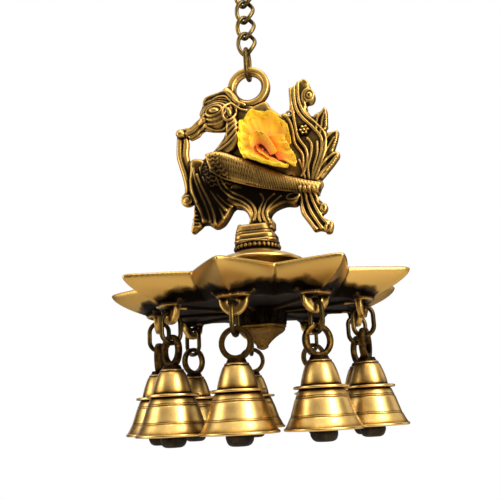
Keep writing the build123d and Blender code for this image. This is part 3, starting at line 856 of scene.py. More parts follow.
birdSlabs = {
    # name: half depth, edge, outline
    "back": (3.0, 1.0, [(-12, 104), (-2, 102.6), (8, 105), (11.3, 100.5), (16.6, 95.6), (22.6, 90),
                        (27, 76), (27, 60), (10, 60), (0, 62), (-12, 74), (-11, 90)]),
    "neck": (5.0, 1.6, [(-15, 96), (-9, 98), (-7.5, 90), (-8, 82), (-14, 76), (-24, 76),
                        (-21.5, 80), (-18, 83), (-16, 87.5)]),
    "crest": (3.6, 1.2, [(-28, 107), (-28.2, 111.4), (-25, 113.8), (-18, 115), (-13.8, 117.5),
                         (-8, 111), (-6, 104), (-14, 102)]),
    "legs": (4.6, 1.8, [(-17, 50), (-12.6, 44.8), (-8, 43.2), (-5.2, 39.5), (-4.6, 35), (-8, 31),
                        (8, 31), (9, 34.5), (7.4, 37.5), (10, 40.6), (16, 42.4), (22, 42),
                        (25, 48), (14, 56), (-6, 58)]),
    "tailRoot": (3.0, 1.2, [(17, 95), (22, 95), (31, 96), (35, 88), (40, 82), (41, 72), (40, 62),
                            (36.5, 56), (33, 51.5), (24, 52), (20, 62), (20, 80)]),
    "plume": (3.2, 1.1, [(21.6, 95), (21.8, 104), (21.7, 110.4), (24.4, 111), (27, 114), (30.5,
        114.9),
                         (33, 113), (33.8, 109.5), (35.7, 106.5), (36, 102.6), (34.5, 99.8),
                         (31.5, 99.6), (31.5, 95), (34, 91), (36, 84), (28, 84)]),
    "leafA": (2.6, 1.0, [(33.5, 90), (35, 93), (38.5, 94.4), (41, 96.4), (42.4, 94), (42, 89),
                         (41.5, 84), (38, 79), (34, 82)]),
    "leafB": (2.6, 1.0, [(39, 83), (42, 81.5), (47.4, 81.6), (47.2, 78), (45.4, 73.5), (43.5, 69),
                         (38, 66), (36, 74)]),
    "leafC": (2.6, 1.0, [(40, 71), (43.5, 70), (45.8, 69.6), (47.4, 67.4), (44.5, 63.4),
                         (40.5, 59), (36, 55), (33, 60)]),
    "scroll": (2.8, 1.0, [(23.5, 52), (23.4, 44), (23.6, 38), (26, 33.5), (28.5, 29.5), (30.4,
        26.4),
                          (33, 26.8), (36, 26), (38.3, 24.3), (40.4, 26.4), (40, 30), (37.4, 32.8),
                          (35.2, 34.6), (37.6, 37), (38.2, 40), (36.4, 41.6), (34.6, 42.6),
                          (33.2, 47), (33, 52), (28, 56)]),
    "bunch": (4.2, 1.8, [(-38, 68), (-36.6, 76), (-29, 75), (-24, 66), (-13, 54), (-9.5, 47.5),
                         (-13.4, 43.5), (-16, 39.4), (-19.4, 35.4), (-24, 34), (-28, 36.8),
                         (-31.5, 37.6), (-33, 43), (-36, 50), (-38.6, 58)]),
    "horn": (3.0, 1.3, [(-35.6, 49), (-33.4, 44.5), (-31, 40), (-31.2, 36.8), (-34, 34.4),
                        (-37, 32.6), (-38.3, 34.2), (-37.4, 38), (-36.2, 43)]),
}

birdBalls = [
    # x, z, half sizes along x, y, z, and tilt
    (-19.6, 101.2, 11.6, 6.6, 9.4, 14), (-25.5, 97.5, 6, 4.4, 5, 30),
    (-19.4, 66.0, 12.0, 8.4, 12.6, 0), (-9, 60, 14, 5.6, 10, 24), (5, 55, 21, 5.2, 8.2, 12),
    (20, 52, 12, 4.8, 5.0, 10), (-35.2, 73.2, 3.5, 3.9, 3.5, 0), (-43, 93.4, 2.4, 3.0, 2.4, 0),
    (-39.6, 52.4, 4.2, 3.4, 3.6, 0), (34, 52.5, 3.2, 4.0, 3.0, 0),
]

wing = {
    "upper": [(-27, 76), (-20, 77), (-10, 73), (2, 66.8), (13, 60.8), (24, 56), (36, 52)],
    "lower": [(-24, 66), (-17, 61), (-8, 57.4), (2, 53.8), (12, 51.2), (22, 49.2), (34, 47.6)],
    "depth": 9.6, "tailDepth": 5.0,
}

# name: start width, end width, how proud, points
ridges = [
    # eye, ear and cheek
    ("oval", -21.2, 102.4, 4.7, 2.9, 8, 0.55), ("oval", -21.0, 102.2, 7.0, 4.9, 8, 0.5),
    ("oval", -20.6, 101.8, 9.2, 6.8, 10, 0.5), ("oval", -12.6, 100.8, 3.6, 5.2, -14, 0.75),
    ("line", 0.8, 0.5, [(-29.5, 99.5), (-27, 94.8), (-21, 92.2), (-14, 92.6), (-9, 95)]),
    ("line", 0.7, 0.5, [(-30.6, 103), (-29.4, 106.6), (-25, 109.4), (-18, 110), (-12, 108.4)]),
    # crest cap and the lines that fall from it to the back of the neck
    ("line", 0.9, 0.6, [(-28, 107.4), (-26.4, 111.6), (-20, 113.4), (-14.6, 114), (-11, 109.6),
        (-6, 104.6), (0, 102.2)]),
    ("line", 0.7, 0.5, [(-25, 108.2), (-20, 111.2), (-14.6, 110.8), (-11.6, 106.8), (-7, 102.6),
        (-3, 100.8)]),
    ("line", 0.7, 0.5, [(-16, 116.4), (-11.6, 112.6), (-9, 108), (-4, 104.6)]),
    # beak, which runs into the vine
    ("line", 2.6, 2.0, [(-28, 98.6), (-32.6, 95.4), (-36, 93.2), (-40.6, 92.6), (-43, 93)]),
    ("line", 1.3, 1.0, [(-27, 101), (-32, 98.4), (-36, 95.2), (-40, 94.8), (-43.6, 94.4)]),
    ("line", 1.0, 0.8, [(-26.6, 95.6), (-31, 93.6), (-33, 91.4), (-37, 90)]),
    # neck folds
    ("line", 0.8, 0.5, [(-8, 94), (-13, 89.6), (-16.6, 85.6), (-20, 81.4)]),
    ("line", 0.9, 0.6, [(-8, 91), (-12, 86.8), (-16.6, 82.4), (-23, 78.4), (-28.6, 75)]),
    ("line", 0.7, 0.5, [(-8.4, 87), (-12, 83.4), (-16, 80.4), (-21, 77.4)]),
    ("line", 0.6, 0.4, [(-28.6, 74.6), (-30.2, 70), (-29.8, 65), (-27.4, 60)]),
    # the doubled cord from the breast to the feet, and the straps on the legs
    ("line", 0.75, 0.6, [(-20.6, 62), (-18.6, 55.6), (-13.6, 50.4), (-8.4, 47.4), (-4, 43.6),
        (-2.4, 39), (-3.8, 35)]),
    ("line", 0.75, 0.6, [(-18.6, 62.6), (-16.6, 56.8), (-12, 52.4), (-6.4, 49), (-2, 44.8),
        (-0.2, 40), (-1.4, 36)]),
    ("line", 0.8, 0.6, [(3, 50), (4.4, 46.4), (2.4, 42), (1.4, 38), (2.2, 34)]),
    ("line", 0.8, 0.6, [(10.4, 49), (6.6, 46), (4.6, 42.4), (3.6, 38.4), (5, 34), (7.6, 31.6)]),
    ("line", 0.7, 0.6, [(14, 47.4), (9, 43.8), (6.2, 40.6), (6, 36.6)]),
    ("oval", 20.6, 46.6, 3.4, 1.6, 8, 0.6),
    # tall plume: ridges side by side, running down to the tail's root
    ("line", 0.85, 0.7, [(22.7, 110), (22.6, 103), (23.4, 96), (24.2, 88), (25.4, 80), (29.4,
        72), (29, 64), (26, 58)]),
    ("line", 0.85, 0.7, [(25, 110.6), (24.8, 103), (25.8, 96.6), (28.8, 91), (34, 84.6), (38,
        78), (37.4, 70), (33.6, 60), (31.6, 55)]),
    ("line", 0.8, 0.7, [(27.4, 113), (27, 105), (27.8, 99), (30.4, 93), (36, 86.6), (40, 80),
        (39.6, 72), (36, 62), (33, 55)]),
    ("line", 0.8, 0.5, [(30.6, 114), (33, 111.4), (33, 108.6), (30.2, 106.6), (29.4, 102.6), (31,
        97)]),
    ("oval", 33.0, 104.2, 2.5, 3.3, -10, 0.7), ("oval", 33.0, 104.0, 0.9, 1.3, 0, 0.7),
    ("line", 0.8, 0.6, [(17.6, 95.4), (20.8, 91.4), (22.6, 85), (23.4, 77), (27, 70), (27, 62)]),
    ("oval", 21.6, 95.0, 2.2, 1.6, 0, 0.7),
    # leaves of the tail with their middle ribs
    ("line", 0.7, 0.5, [(35.6, 84), (36.6, 90), (39.6, 93.6), (40.8, 95.6)]),
    ("line", 0.6, 0.4, [(37.6, 81), (39, 88), (40.6, 92.6)]),
    ("line", 0.7, 0.5, [(38.4, 73), (41, 78), (44, 80.4), (46.6, 81)]),
    ("line", 0.6, 0.4, [(38.8, 69), (42.6, 74.6), (45, 77.6)]),
    ("line", 0.7, 0.5, [(35, 60), (39, 65), (43.4, 68), (46.4, 68.4)]),
    ("line", 0.6, 0.4, [(35, 57), (39.6, 61.4), (43.6, 65)]),
    # fan of barbs from the root
    ("line", 0.75, 0.5, [(30, 55), (29.6, 62), (31.6, 69), (32.4, 75), (30.4, 79)]),
    ("line", 0.75, 0.5, [(31.4, 55), (32.6, 62), (35, 69), (35.6, 76)]),
    ("line", 0.7, 0.5, [(27.6, 56), (26.6, 62), (25, 67)]),
    ("line", 0.7, 0.5, [(33.6, 54.6), (37, 58.6), (41.6, 63), (45, 66.6)]),
    # lower scroll: ridges ending in two curls
    ("line", 0.85, 0.7, [(24.8, 51), (24.8, 44), (26, 37), (29, 31.6), (31.4, 27.6)]),
    ("line", 0.85, 0.7, [(27.2, 50.6), (27.6, 44), (29.4, 37.6), (32.4, 31.6), (34.8, 27.6)]),
    ("line", 0.85, 0.7, [(29.6, 50.4), (30.4, 45), (32.2, 39.6), (35, 33.6), (37.6, 30)]),
    ("line", 0.8, 0.6, [(31.8, 50), (33, 45), (35.6, 41.4), (37.2, 39.4), (36.4, 37)]),
    ("oval", 36.4, 39.0, 1.3, 1.9, -20, 0.6), ("oval", 38.3, 28.4, 1.4, 3.0, -20, 0.7),
    # scroll curl at the foot of the vine, and the horn's ribs
    ("oval", -40.0, 52.6, 3.0, 2.4, 0, 0.7),
    ("line", 0.5, 0.5, [(-35.4, 45.2), (-33.8, 44.6)]), ("line", 0.5, 0.5, [(-36.0, 43.0),
        (-33.0, 42.2)]),
    ("line", 0.5, 0.5, [(-36.6, 40.8), (-32.6, 40)]), ("line", 0.5, 0.5, [(-37.0, 38.6), (-32.8,
        38)]),
    ("line", 0.5, 0.5, [(-37.2, 36.6), (-33.6, 36)]),
    # leaf ribs over the dark bunch
    ("line", 0.8, 0.4, [(-35, 70), (-33.6, 62), (-31, 54), (-28, 46), (-26, 38)]),
    ("line", 0.8, 0.4, [(-31, 70), (-29.6, 62), (-26, 54), (-21, 46), (-18.6, 39)]),
    ("line", 0.7, 0.4, [(-27, 62), (-23, 54.6), (-17.6, 48), (-13.6, 45)]),
    ("line", 0.7, 0.4, [(-37, 64), (-36, 57), (-33.6, 50)]),
    ("line", 1.1, 0.7, [(-33, 66), (-30, 58), (-26.6, 50), (-24, 42), (-23.4, 36)]),
    ("line", 1.2, 0.7, [(-29, 64), (-26, 57), (-21.6, 49), (-17, 43.4)]),
]

vine = {
    "outer": [(-43.4, 93), (-43.9, 86), (-44, 80), (-42.8, 74.4), (-41, 68), (-39.8, 62), (-39.8,
        57), (-42, 54.4)],
    "inner": [(-40.4, 91.4), (-39.8, 86), (-40.4, 80.6), (-39.6, 75), (-38.2, 69), (-37.4, 62),
        (-37.6, 56)],
}


def draped(ground, line, radius, sink=0.25, sides=8):
    # the same ridge on the front and on the back of the casting
    tubes = []
    for side in (-1, 1):
        path, last = [], None
        for x, z in line:
            hit = ground.ray_cast(Vector((x, side * 40, z)), Vector((0, -side, 0)))[0]
            level = abs(hit.y) if hit is not None else (last if last is not None else 2.2)
            last = level
            path.append((x, side * level, z))
        path = np.array(path)
        for _ in range(3):  # a ridge bridges small steps in the ground
            path[1:-1, 1] = (path[:-2, 1] + 2 * path[1:-1, 1] + path[2:, 1]) / 4
        path[:, 1] -= side * radius * sink
        tubes.append(tube(path, radius, sides=sides))
    return tubes


def ovalLine(x, z, wide, tall, tilt, count=26):
    angle = math.radians(tilt)
    line = []
    for step in range(count + 1):
        turn = 2 * math.pi * step / count
        a, b = wide * math.cos(turn), tall * math.sin(turn)
        line.append((x + a * math.cos(angle) - b * math.sin(angle),
                     z + a * math.sin(angle) + b * math.cos(angle)))
    return line


def wingPlate():
    # raised lens on each face, from the breast to the knot at the tail's root
    shapes = []
    count = 40
    upper, lower = smoothLine(wing["upper"], count), smoothLine(wing["lower"], count)
    for side in (-1, 1):
        verts, faces = [], []
        for step in range(count):
            share = step / (count - 1)
            proud = wing["depth"] + (wing["tailDepth"] - wing["depth"]) * share ** 1.3
            for row in range(9):
                t = row / 8
                x, z = upper[step] * (1 - t) + lower[step] * t
                crown = math.sin(math.pi * t) ** 0.5
                verts.append((x, side * (proud - 1.3 + 1.3 * crown), z))
            for row in range(9):
                t = row / 8
                x, z = upper[step] * (1 - t) + lower[step] * t
                verts.append((x, side * 1.0, z))
        rowCount = 18
        for step in range(count - 1):
            for row in range(rowCount):
                first, after = row, (row + 1) % rowCount
                # the loop goes out over the face and back along the middle of the casting
                order = list(range(9)) + list(range(17, 8, -1))
                a, b = order[first], order[after]
                faces.append([step * 18 + a, step * 18 + b, (step + 1) * 18 + b,
                    (step + 1) * 18 + a])
        order = list(range(9)) + list(range(17, 8, -1))
        faces.append(order[::-1])
        faces.append([(count - 1) * 18 + corner for corner in order])
        shapes.append((np.array(verts), faces))
    return shapes


def acrossWing(upper, lower, step, slope, start):
    # a slanting line from the wing's upper edge to its lower one
    line = []
    for t in np.linspace(start, 1 - start, 7):
        place = min(step + slope * (t - 0.5), 58.5) if start < 0.1 else step + slope * (t - 0.5)
        low = min(max(int(place), 0), 58)
        a = upper[low] + (upper[low + 1] - upper[low]) * (place - low)
        b = lower[low] + (lower[low + 1] - lower[low]) * (place - low)
        line.append(tuple(a * (1 - t) + b * t))
    return line


def wingFeathers(ground):
    # scales on the front half of the wing, slanting barbs on the rear half, a cord round it
    shapes = []
    upper, lower = smoothLine(wing["upper"], 60), smoothLine(wing["lower"], 60)
    for line in (upper, lower):
        shapes += draped(ground, [tuple(point) for point in line], 0.62, sink=0.1)
    for row in range(2, 22):
        for slope in (-3.4, 3.4):
            line = acrossWing(upper, lower, row * 1.35, slope, 0.1)
            shapes += draped(ground, line, 0.34, sink=0.2, sides=6)
    for row in range(0, 24):
        line = acrossWing(upper, lower, 28 + row * 1.28, 3.2, 0.06)
        shapes += draped(ground, line, 0.42, sink=0.15, sides=6)
    return shapes


def breastScales(ground):
    # rows of small overlapping scales, each one an arc that opens upwards
    shapes = []
    for row in range(9):
        z = 56.5 + row * 2.3
        half = 11.2 * math.sqrt(max(0, 1 - ((z - 66) / 13.5) ** 2))
        count = int(half / 1.5)
        for column in range(count):
            x = -19.6 - half + (column + (0.5 if row % 2 else 0)) * 2 * half / max(count, 1) + 0.8
            if x > -13 + (z - 56) * -0.3:
                continue
            line = [(x + 1.25 * math.cos(a), z + 1.25 * math.sin(a))
                    for a in np.linspace(math.pi * 1.05, math.pi * 1.95, 6)]
            shapes += draped(ground, line, 0.32, sink=0.0, sides=6)
    return shapes


def beadedEdges(ground):
    # beads along the leaf tips and the seven dots of the tail's eye
    shapes = []
    edges = [[(41.6, 95), (42, 90.4), (41.6, 85)], [(47, 80.6), (46.4, 76.8), (44.6, 72.2)],
             [(46.4, 66.8), (43.4, 63), (39.6, 59)]]
    for edge in edges:
        for x, z in smoothLine(edge, 9):
            for side in (-1, 1):
                shapes.append(ball((x - 0.5, side * 2.3, z), (0.75, 0.75, 0.75), rings=6))
    dots = [(29, 84)] + [(29 + 2.1 * math.cos(a), 84 + 2.1 * math.sin(a))
                         for a in np.linspace(0, 2 * math.pi, 7)[:-1]]
    for x, z in dots:
        for side in (-1, 1):
            shapes.append(ball((x, side * 4.0, z), (0.8, 0.8, 0.8), rings=6))
    return shapes


def birdBase():
    low, high = boxOf("beaded_collar")
    foot = high.z
    shift = -birdShape["shift"]

    def block(halfWide, halfDeep, bottom, top, corner, centre=0.0, lean=0.0):
        line = []
        for sx, sy, start in ((1, 1, 0), (-1, 1, 90), (-1, -1, 180), (1, -1, 270)):
            for angle in range(start, start + 91, 15):
                line.append((sx * (halfWide - corner) + corner * math.cos(math.radians(angle)),
                             sy * (halfDeep - corner) + corner * math.sin(math.radians(angle))))
        edge = min(0.7, (top - bottom) / 3)
        rings = [(bottom, -edge), (bottom + edge, 0), (top - edge, -lean), (top, -edge - lean)]
        verts = [(x * (1 + grow / halfWide) + centre, y * (1 + grow / halfDeep), z)
                 for z, grow in rings for x, y in line]
        count = len(line)
        faces = ringFaces(4, count)
        faces += [list(range(count))[::-1], [3 * count + corner for corner in range(count)]]
        return np.array(verts), faces

    parts = [block(11.75, 9.0, foot, foot + 1.5, 5.0, shift), block(11.2, 8.5, foot + 1.2,
        foot + 4.6, 4.6, shift),
             block(10.6, 7.4, foot + 4.2, foot + 6.6, 3.6, shift - 0.6, 0.3),
             block(9.8, 6.6, foot + 6.2, foot + 10.6, 3.0, shift - 1.0, 1.0)]
    # the feet spread over the block
    for x in (-9.8, 7.6):
        for z in (33.6, 31.2):
            parts.append(ball((x, 0, z), (1.9, 5.4, 1.3), rings=8))
    return parts


def hangerRing():
    # bevelled ring, wide across its face
    low, high = boxOf("peacock")
    # the hole is bevelled more, which leaves room for the link that turns in it
    v = {"outer": 12.3, "hole": 7.4, "deep": 2.8, "bevel": 0.8, "holeBevel": 1.8}
    centre = high.z - v["outer"]
    section = [(v["hole"], -v["deep"] + v["holeBevel"]), (v["hole"], v["deep"] - v["holeBevel"]),
               (v["hole"] + v["holeBevel"], v["deep"]), (v["outer"] - v["bevel"], v["deep"]),
               (v["outer"], v["deep"] - v["bevel"]), (v["outer"], -v["deep"] + v["bevel"]),
               (v["outer"] - v["bevel"], -v["deep"]), (v["hole"] + v["holeBevel"], -v["deep"])]
    verts, faces = lathe(section, 96, closed=True)
    shift = -birdShape["shift"]
    return np.stack([verts[:, 0] + shift, verts[:, 2], verts[:, 1] + centre], 1), faces


def peacock():
    v = birdShape
    parts = [slab(outline, deep, edge) for deep, edge, outline in birdSlabs.values()]
    parts += [ball((x, 0, z), (a, b, c), tilt) for x, z, a, b, c, tilt in birdBalls]
    parts += wingPlate()
    parts.append(tube([(x, 0, z) for x, z in smoothLine(vine["outer"], 60)], 2.1))
    parts.append(tube([(x, 0, z) for x, z in smoothLine(vine["inner"], 50)], 1.9))
    ground = remeshed(joined(parts), v["ground"], 3)
    tree = BVHTree.FromPolygons([Vector(p) for p in ground[0]], ground[1])
    print("peacock ground", len(ground[0]))
    fine = [ground] + birdBase() + [hangerRing()]
    for ridge in ridges:
        if ridge[0] == "oval":
            kind, x, z, wide, tall, tilt, thick = ridge
            fine += draped(tree, ovalLine(x, z, wide, tall, tilt), thick * 1.1, sink=0.35)
        else:
            kind, first, last, points = ridge
            line = smoothLine(points, max(8, 6 * len(points)))
            fine += draped(tree, [tuple(point) for point in line],
                           (first + last) / 2 * 1.15, sink=0.38)
    for side in (-1, 1):  # eyeball and ear
        fine.append(ball((-21.2, side * 6.0, 102.4), (3.1, 1.6, 1.7), 8, rings=10))
        fine.append(ball((-12.6, side * 4.6, 100.8), (1.6, 1.4, 3.0), -14, rings=10))
    for x, z in smoothLine(vine["inner"], 44)[6:-4]:  # ribs across the vine's inner strip
        fine.append(tube([(x - 1.3, 0, z - 0.3), (x + 1.5, 0, z + 0.3)], 0.55, sides=6))
        for side in (-1, 1):
            fine.append(tube([(x - 1.2, side * 1.2, z - 0.3), (x + 1.0, side * 1.0, z + 0.3)],
                0.5, sides=6))
    fine += wingFeathers(tree) + breastScales(tree) + beadedEdges(tree)
    verts, faces = remeshed(joined(fine), v["voxel"], v["smoothing"])
    print("peacock casting", len(verts))
    relief = reliefOf((verts, faces), ((4, 0.05), (16, 0.16), (70, 0.6)))
    # painted shade: the leaves and fruit in the crook and the belly under the wing are painted
    # darker and less polished, where shade falls
    x, z = verts[:, 0], verts[:, 2]
    paintedShade = np.exp(-(((x + 25) / 12) ** 2 + ((z - 51) / 19) ** 2) ** 1.5)
    paintedShade = np.maximum(paintedShade, np.exp(-(((x - 6) / 24) ** 2 + ((z - 49 + 0.2 * x) / 5.5) ** 2) ** 1.5))
    polishAndPaintedLight = 0.9 - 1.1 * paintedShade
    verts = verts + np.array((v["shift"], 0, 0))
    addPiece("peacock", (verts, faces), castSkin, "lamp", ["peacock"],
             relief - 0.05 - 0.30 * paintedShade, polishAndPaintedLight, crease=0)


peacock()
print("peacock ready")


flowerValues = {
    "thick": 0.34, "rows": 16, "columns": 25,
}

# name: corner points of each petal, row by row from the heart out to the rim, as x, y, z.
# The middle column is the petal's own axis; columns at the sides fold it into a cup.
petalSheets = {
    "broadBack": [
        [(4, -5.4, 79), (7, -5.0, 80), (10, -5.2, 78), (13, -5.4, 75), (15, -5.8, 71)],
        [(-1, -5.6, 86), (4, -4.4, 88.5), (11, -4.2, 87), (16.5, -4.6, 81), (18.5, -5.6, 73)],
        [(-4.6, -7.4, 91), (2.5, -5.6, 94.6), (11.5, -5.2, 92.6), (19, -5.8, 85.4), (21, -7.2, 75)],
        [(-4.8, -9.6, 92.4), (2.4, -9.0, 97.4), (12.4, -8.6, 95), (20.6, -9.0, 87), (22.6, -9.2,
            75.4)],
    ],
    "leftFold": [
        [(1.4, -8.2, 82), (2.6, -7.4, 80), (3.2, -6.8, 78), (3.2, -6.8, 75.6), (3.0, -7.0, 73.4)],
        [(-1, -9.4, 88), (-1.4, -7.8, 84), (-1.4, -7.0, 80), (-1.0, -7.0, 76), (0.2, -7.4, 72)],
        [(-3.4, -10.2, 91.6), (-4.6, -8.8, 86), (-5.0, -7.8, 80.4), (-4.4, -7.8, 75), (-2.4,
            -8.4, 70.4)],
        [(-4.2, -11.8, 92.4), (-5.9, -11.0, 86), (-6.5, -10.4, 79.6), (-5.6, -10.4, 73.8), (-3.2,
            -10.6, 69.6)],
    ],
    "lowerLip": [
        [(1.6, -7.6, 74), (5, -7.2, 73), (9.4, -7.0, 70.6), (14, -7.0, 67.6), (18, -7.2, 65)],
        [(-1.4, -9.2, 71.8), (3.6, -9.0, 69.8), (9, -8.8, 66.8), (14.4, -8.8, 64), (19, -8.8,
            62.2)],
        [(-3.4, -10.8, 70.6), (2.6, -11.0, 67.4), (8.8, -11.0, 64.4), (15, -11.0, 62), (20.4,
            -10.8, 60.8)],
        [(-3.6, -12.2, 71.8), (2.6, -12.9, 68.6), (9, -13.0, 65.6), (15.4, -12.8, 63.2), (21.2,
            -12.2, 62)],
    ],
    "rightFold": [
        [(9, -8.4, 80), (10.4, -7.8, 77), (12, -7.4, 73.6), (13.4, -7.4, 70), (15, -7.6, 67)],
        [(12.4, -10.2, 80.4), (14.2, -9.0, 76.6), (16.2, -8.6, 72.6), (17.8, -8.6, 68.6), (19.2,
            -8.8, 65.2)],
        [(16.6, -10.6, 80), (18.6, -9.6, 75.2), (20.8, -9.6, 70.4), (22.6, -9.8, 65.6), (23.4,
            -10, 61.4)],
        [(19.2, -11.4, 79.4), (21.2, -11.2, 74), (23.4, -11.4, 69.6), (25.2, -11.6, 65), (25.0,
            -11.8, 60.2)],
    ],
    "innerArch": [
        [(1.4, -8.4, 74.6), (2.4, -8.2, 76.6), (5, -8.0, 77.8), (7.6, -8.2, 76), (10.8, -8.4, 70)],
        [(0.4, -9.8, 76.6), (2.2, -9.4, 79.6), (5.8, -9.2, 80.8), (9.6, -9.4, 77.6), (13, -9.6,
            70)],
        [(0, -11.2, 78.6), (2.2, -11.0, 82), (6.2, -10.8, 83), (10.8, -11.0, 78.8), (14.6, -11.0,
            70.6)],
        [(-0.2, -12.6, 78.8), (2, -13.2, 82), (6.2, -13.4, 82.8), (11, -13.2, 78.6), (15.2,
            -12.6, 70.4)],
    ],
    "heartFloor": [
        [(2.4, -6.2, 77), (4, -6.0, 76.6), (6, -6.0, 75), (8, -6.2, 72.6), (10, -6.6, 70)],
        [(3, -7.2, 76), (4.6, -7.4, 75), (6.8, -7.6, 73.2), (9, -7.6, 70.8), (11.4, -7.6, 68)],
        [(3.4, -8.4, 74.8), (5, -8.8, 73.4), (7.4, -9.0, 71.4), (10, -8.8, 69), (12.6, -8.4, 66.4)],
        [(4, -9.4, 73.2), (5.6, -9.8, 71.8), (8, -10.0, 69.8), (10.6, -9.8, 67.4), (13.2, -9.4,
            65)],
    ],
}
# how deep the ruffle at the rim is, how many waves it has and how yellow the sheet is
ruffles = {
    "broadBack": (1.5, 3.4, -0.05), "leftFold": (1.2, 4.2, 0.15), "lowerLip": (0.8, 4.0, 0.12),
    "rightFold": (1.3, 3.0, -0.12), "innerArch": (0.7, 4.0, 0.0), "heartFloor": (0.4, 3.0, -0.5),
}


def petalSheet(corners, ruffle, waves, start):
    # a thin closed skin through the corner points; also gives each point's share from
    # heart to rim and from side to side
    v = flowerValues
    rows, columns = v["rows"], v["columns"]
    across = [smoothLine(row, columns) for row in corners]
    grid = np.stack([smoothLine([row[column] for row in across], rows)
                     for column in range(columns)], 1)
    out, side = np.meshgrid(np.linspace(0, 1, rows), np.linspace(0, 1, columns), indexing="ij")
    fold = np.sin(side * waves * 2 * math.pi + start)
    fine = np.sin(side * waves * 5.3 * math.pi + start * 2.1)
    grid[..., 1] += ruffle * out ** 2 * (fold + 0.35 * fine)
    grid[..., 2] += 0.45 * ruffle * out ** 3 * (fine - 0.5 * fold)
    along, beside = np.gradient(grid, axis=0), np.gradient(grid, axis=1)
    normals = np.cross(along, beside)
    normals /= np.linalg.norm(normals, axis=2)[..., None] + 1e-9
    half = v["thick"] / 2 * (1 - 0.55 * out ** 4)[..., None]
    verts = np.vstack([(grid + normals * half).reshape(-1, 3),
        (grid - normals * half).reshape(-1, 3)])
    total = rows * columns
    faces = []
    for row in range(rows - 1):
        for column in range(columns - 1):
            a, b = row * columns + column, (row + 1) * columns + column
            faces.append([a, a + 1, b + 1, b])
            faces.append([total + b, total + b + 1, total + a + 1, total + a])
    rim = [column for column in range(columns)]
    rim += [row * columns + columns - 1 for row in range(1, rows)]
    rim += [(rows - 1) * columns + column for column in range(columns - 2, -1, -1)]
    rim += [row * columns for row in range(rows - 2, 0, -1)]
    for first, after in zip(rim, rim[1:] + rim[:1]):
        faces.append([after, first, total + first, total + after])
    return (verts, faces), np.tile(out.ravel(), 2), np.tile(side.ravel(), 2)


def flowerHeart():
    # crumpled stamens down in the opening
    parts = []
    for number in range(9):
        x, z = 3.4 + 0.75 * number, 76.4 - 0.78 * number
        lean = draws.uniform(-0.8, 0.8)
        path = [(x, -4.2, z), (x + lean, -6.4, z + 0.4), (x + 1.6 * lean, -8.0,
            z + draws.uniform(0, 1))]
        parts.append(tube(smoothLine(path, 8), 0.55, sides=8))
    return joined(parts)


def blossom():
    shapes, rimShare, sideShare = [], [], []
    for number, (name, corners) in enumerate(petalSheets.items()):
        depth, waves, tone = ruffles[name]
        for layer in range(3 if name in ("broadBack", "leftFold") else 2):
            # the same petal again behind itself, a little smaller and turned
            shape, out, side = petalSheet(corners, depth, waves + 0.7 * layer,
                number * 1.9 + layer * 2.3)
            verts, faces = shape
            middle = np.array((7.0, -5.0, 78.0))
            grow = 1 - 0.07 * layer
            verts = middle + (verts - middle) * np.array((grow, 1, grow)) + np.array((0,
                1.5 * layer, 0))
            verts[:, 1] = np.clip(verts[:, 1], -14.1, -3.35)
            shapes.append((verts, faces))
            rimShare.append(np.clip(out * 0.95 + tone - 0.08 * layer, 0, 1))
            sideShare.append(side)
    heart = flowerHeart()
    shapes.append(heart)
    rimShare.append(np.full(len(heart[0]), 0.02))
    sideShare.append(np.zeros(len(heart[0])))
    addPiece("blossom", lifted(joined(shapes), (1.0, 0, 0)), petalSkin, "lamp",
             ["blossom"], np.concatenate(rimShare), np.concatenate(sideShare), crease=0)


hookValues = {"loop": 4.3, "arch": 7.5, "wire": 1.5, "turn": -45}


def topHook():
    # S hook in one plane: a small loop in the last link, a wide arch above, open on either side
    v = hookValues
    low, high = boxOf("top_hook")
    loop, arch, wire = v["loop"], v["arch"], v["wire"]
    loopMiddle, archMiddle = low.z + wire + loop, high.z - wire - arch
    path = [(-loop, 0, loopMiddle + 2.2)]
    for angle in range(180, 361, 15):
        path.append((loop * math.cos(math.radians(angle)), 0,
                     loopMiddle + loop * math.sin(math.radians(angle))))
    path += [(loop * 0.82, 0, loopMiddle + 4.6), (0, 0, (loopMiddle + archMiddle) / 2),
             (-arch * 0.8, 0, archMiddle - 4.6)]
    for angle in range(180, -1, -12):
        path.append((arch * math.cos(math.radians(angle)), 0,
                     archMiddle + arch * math.sin(math.radians(angle))))
    path.append((arch, 0, archMiddle - 4.6))
    shape = turned(tube(smoothLine(path, 150), wire, sides=16), v["turn"])
    addPiece("topHook", shape, wireSkin, "hook", ["top_hook"], 0.5, 0.4, crease=0)


def threadedStud():
    # rolled thread, a real groove each turn
    low, high = boxOf("threaded_stud")
    pitch, steps = 1.25, 16
    outline = [(0, low.z)]
    for step in range(int((high.z - low.z) / pitch * 4)):
        level = low.z + step * pitch / 4
        outline.append((high.x - (0, 0.22, 0.44, 0.22)[step % 4], level))
    outline += [(high.x - 0.3, high.z), (0, high.z)]
    shape = lathe(outline, 32)
    addPiece("threadedStud", shape, wireSkin, "lamp", ["threaded_stud"], 0.5, 0.4)


blossom()
topHook()
threadedStud()
print("blossom, hook and stud ready")


roomValues = {
    "white": "#FFFFFF", "fill": 0.50, "floorDrop": 260.0, "floorHalf": 900.0, "floor": "#EFEDEA",
}


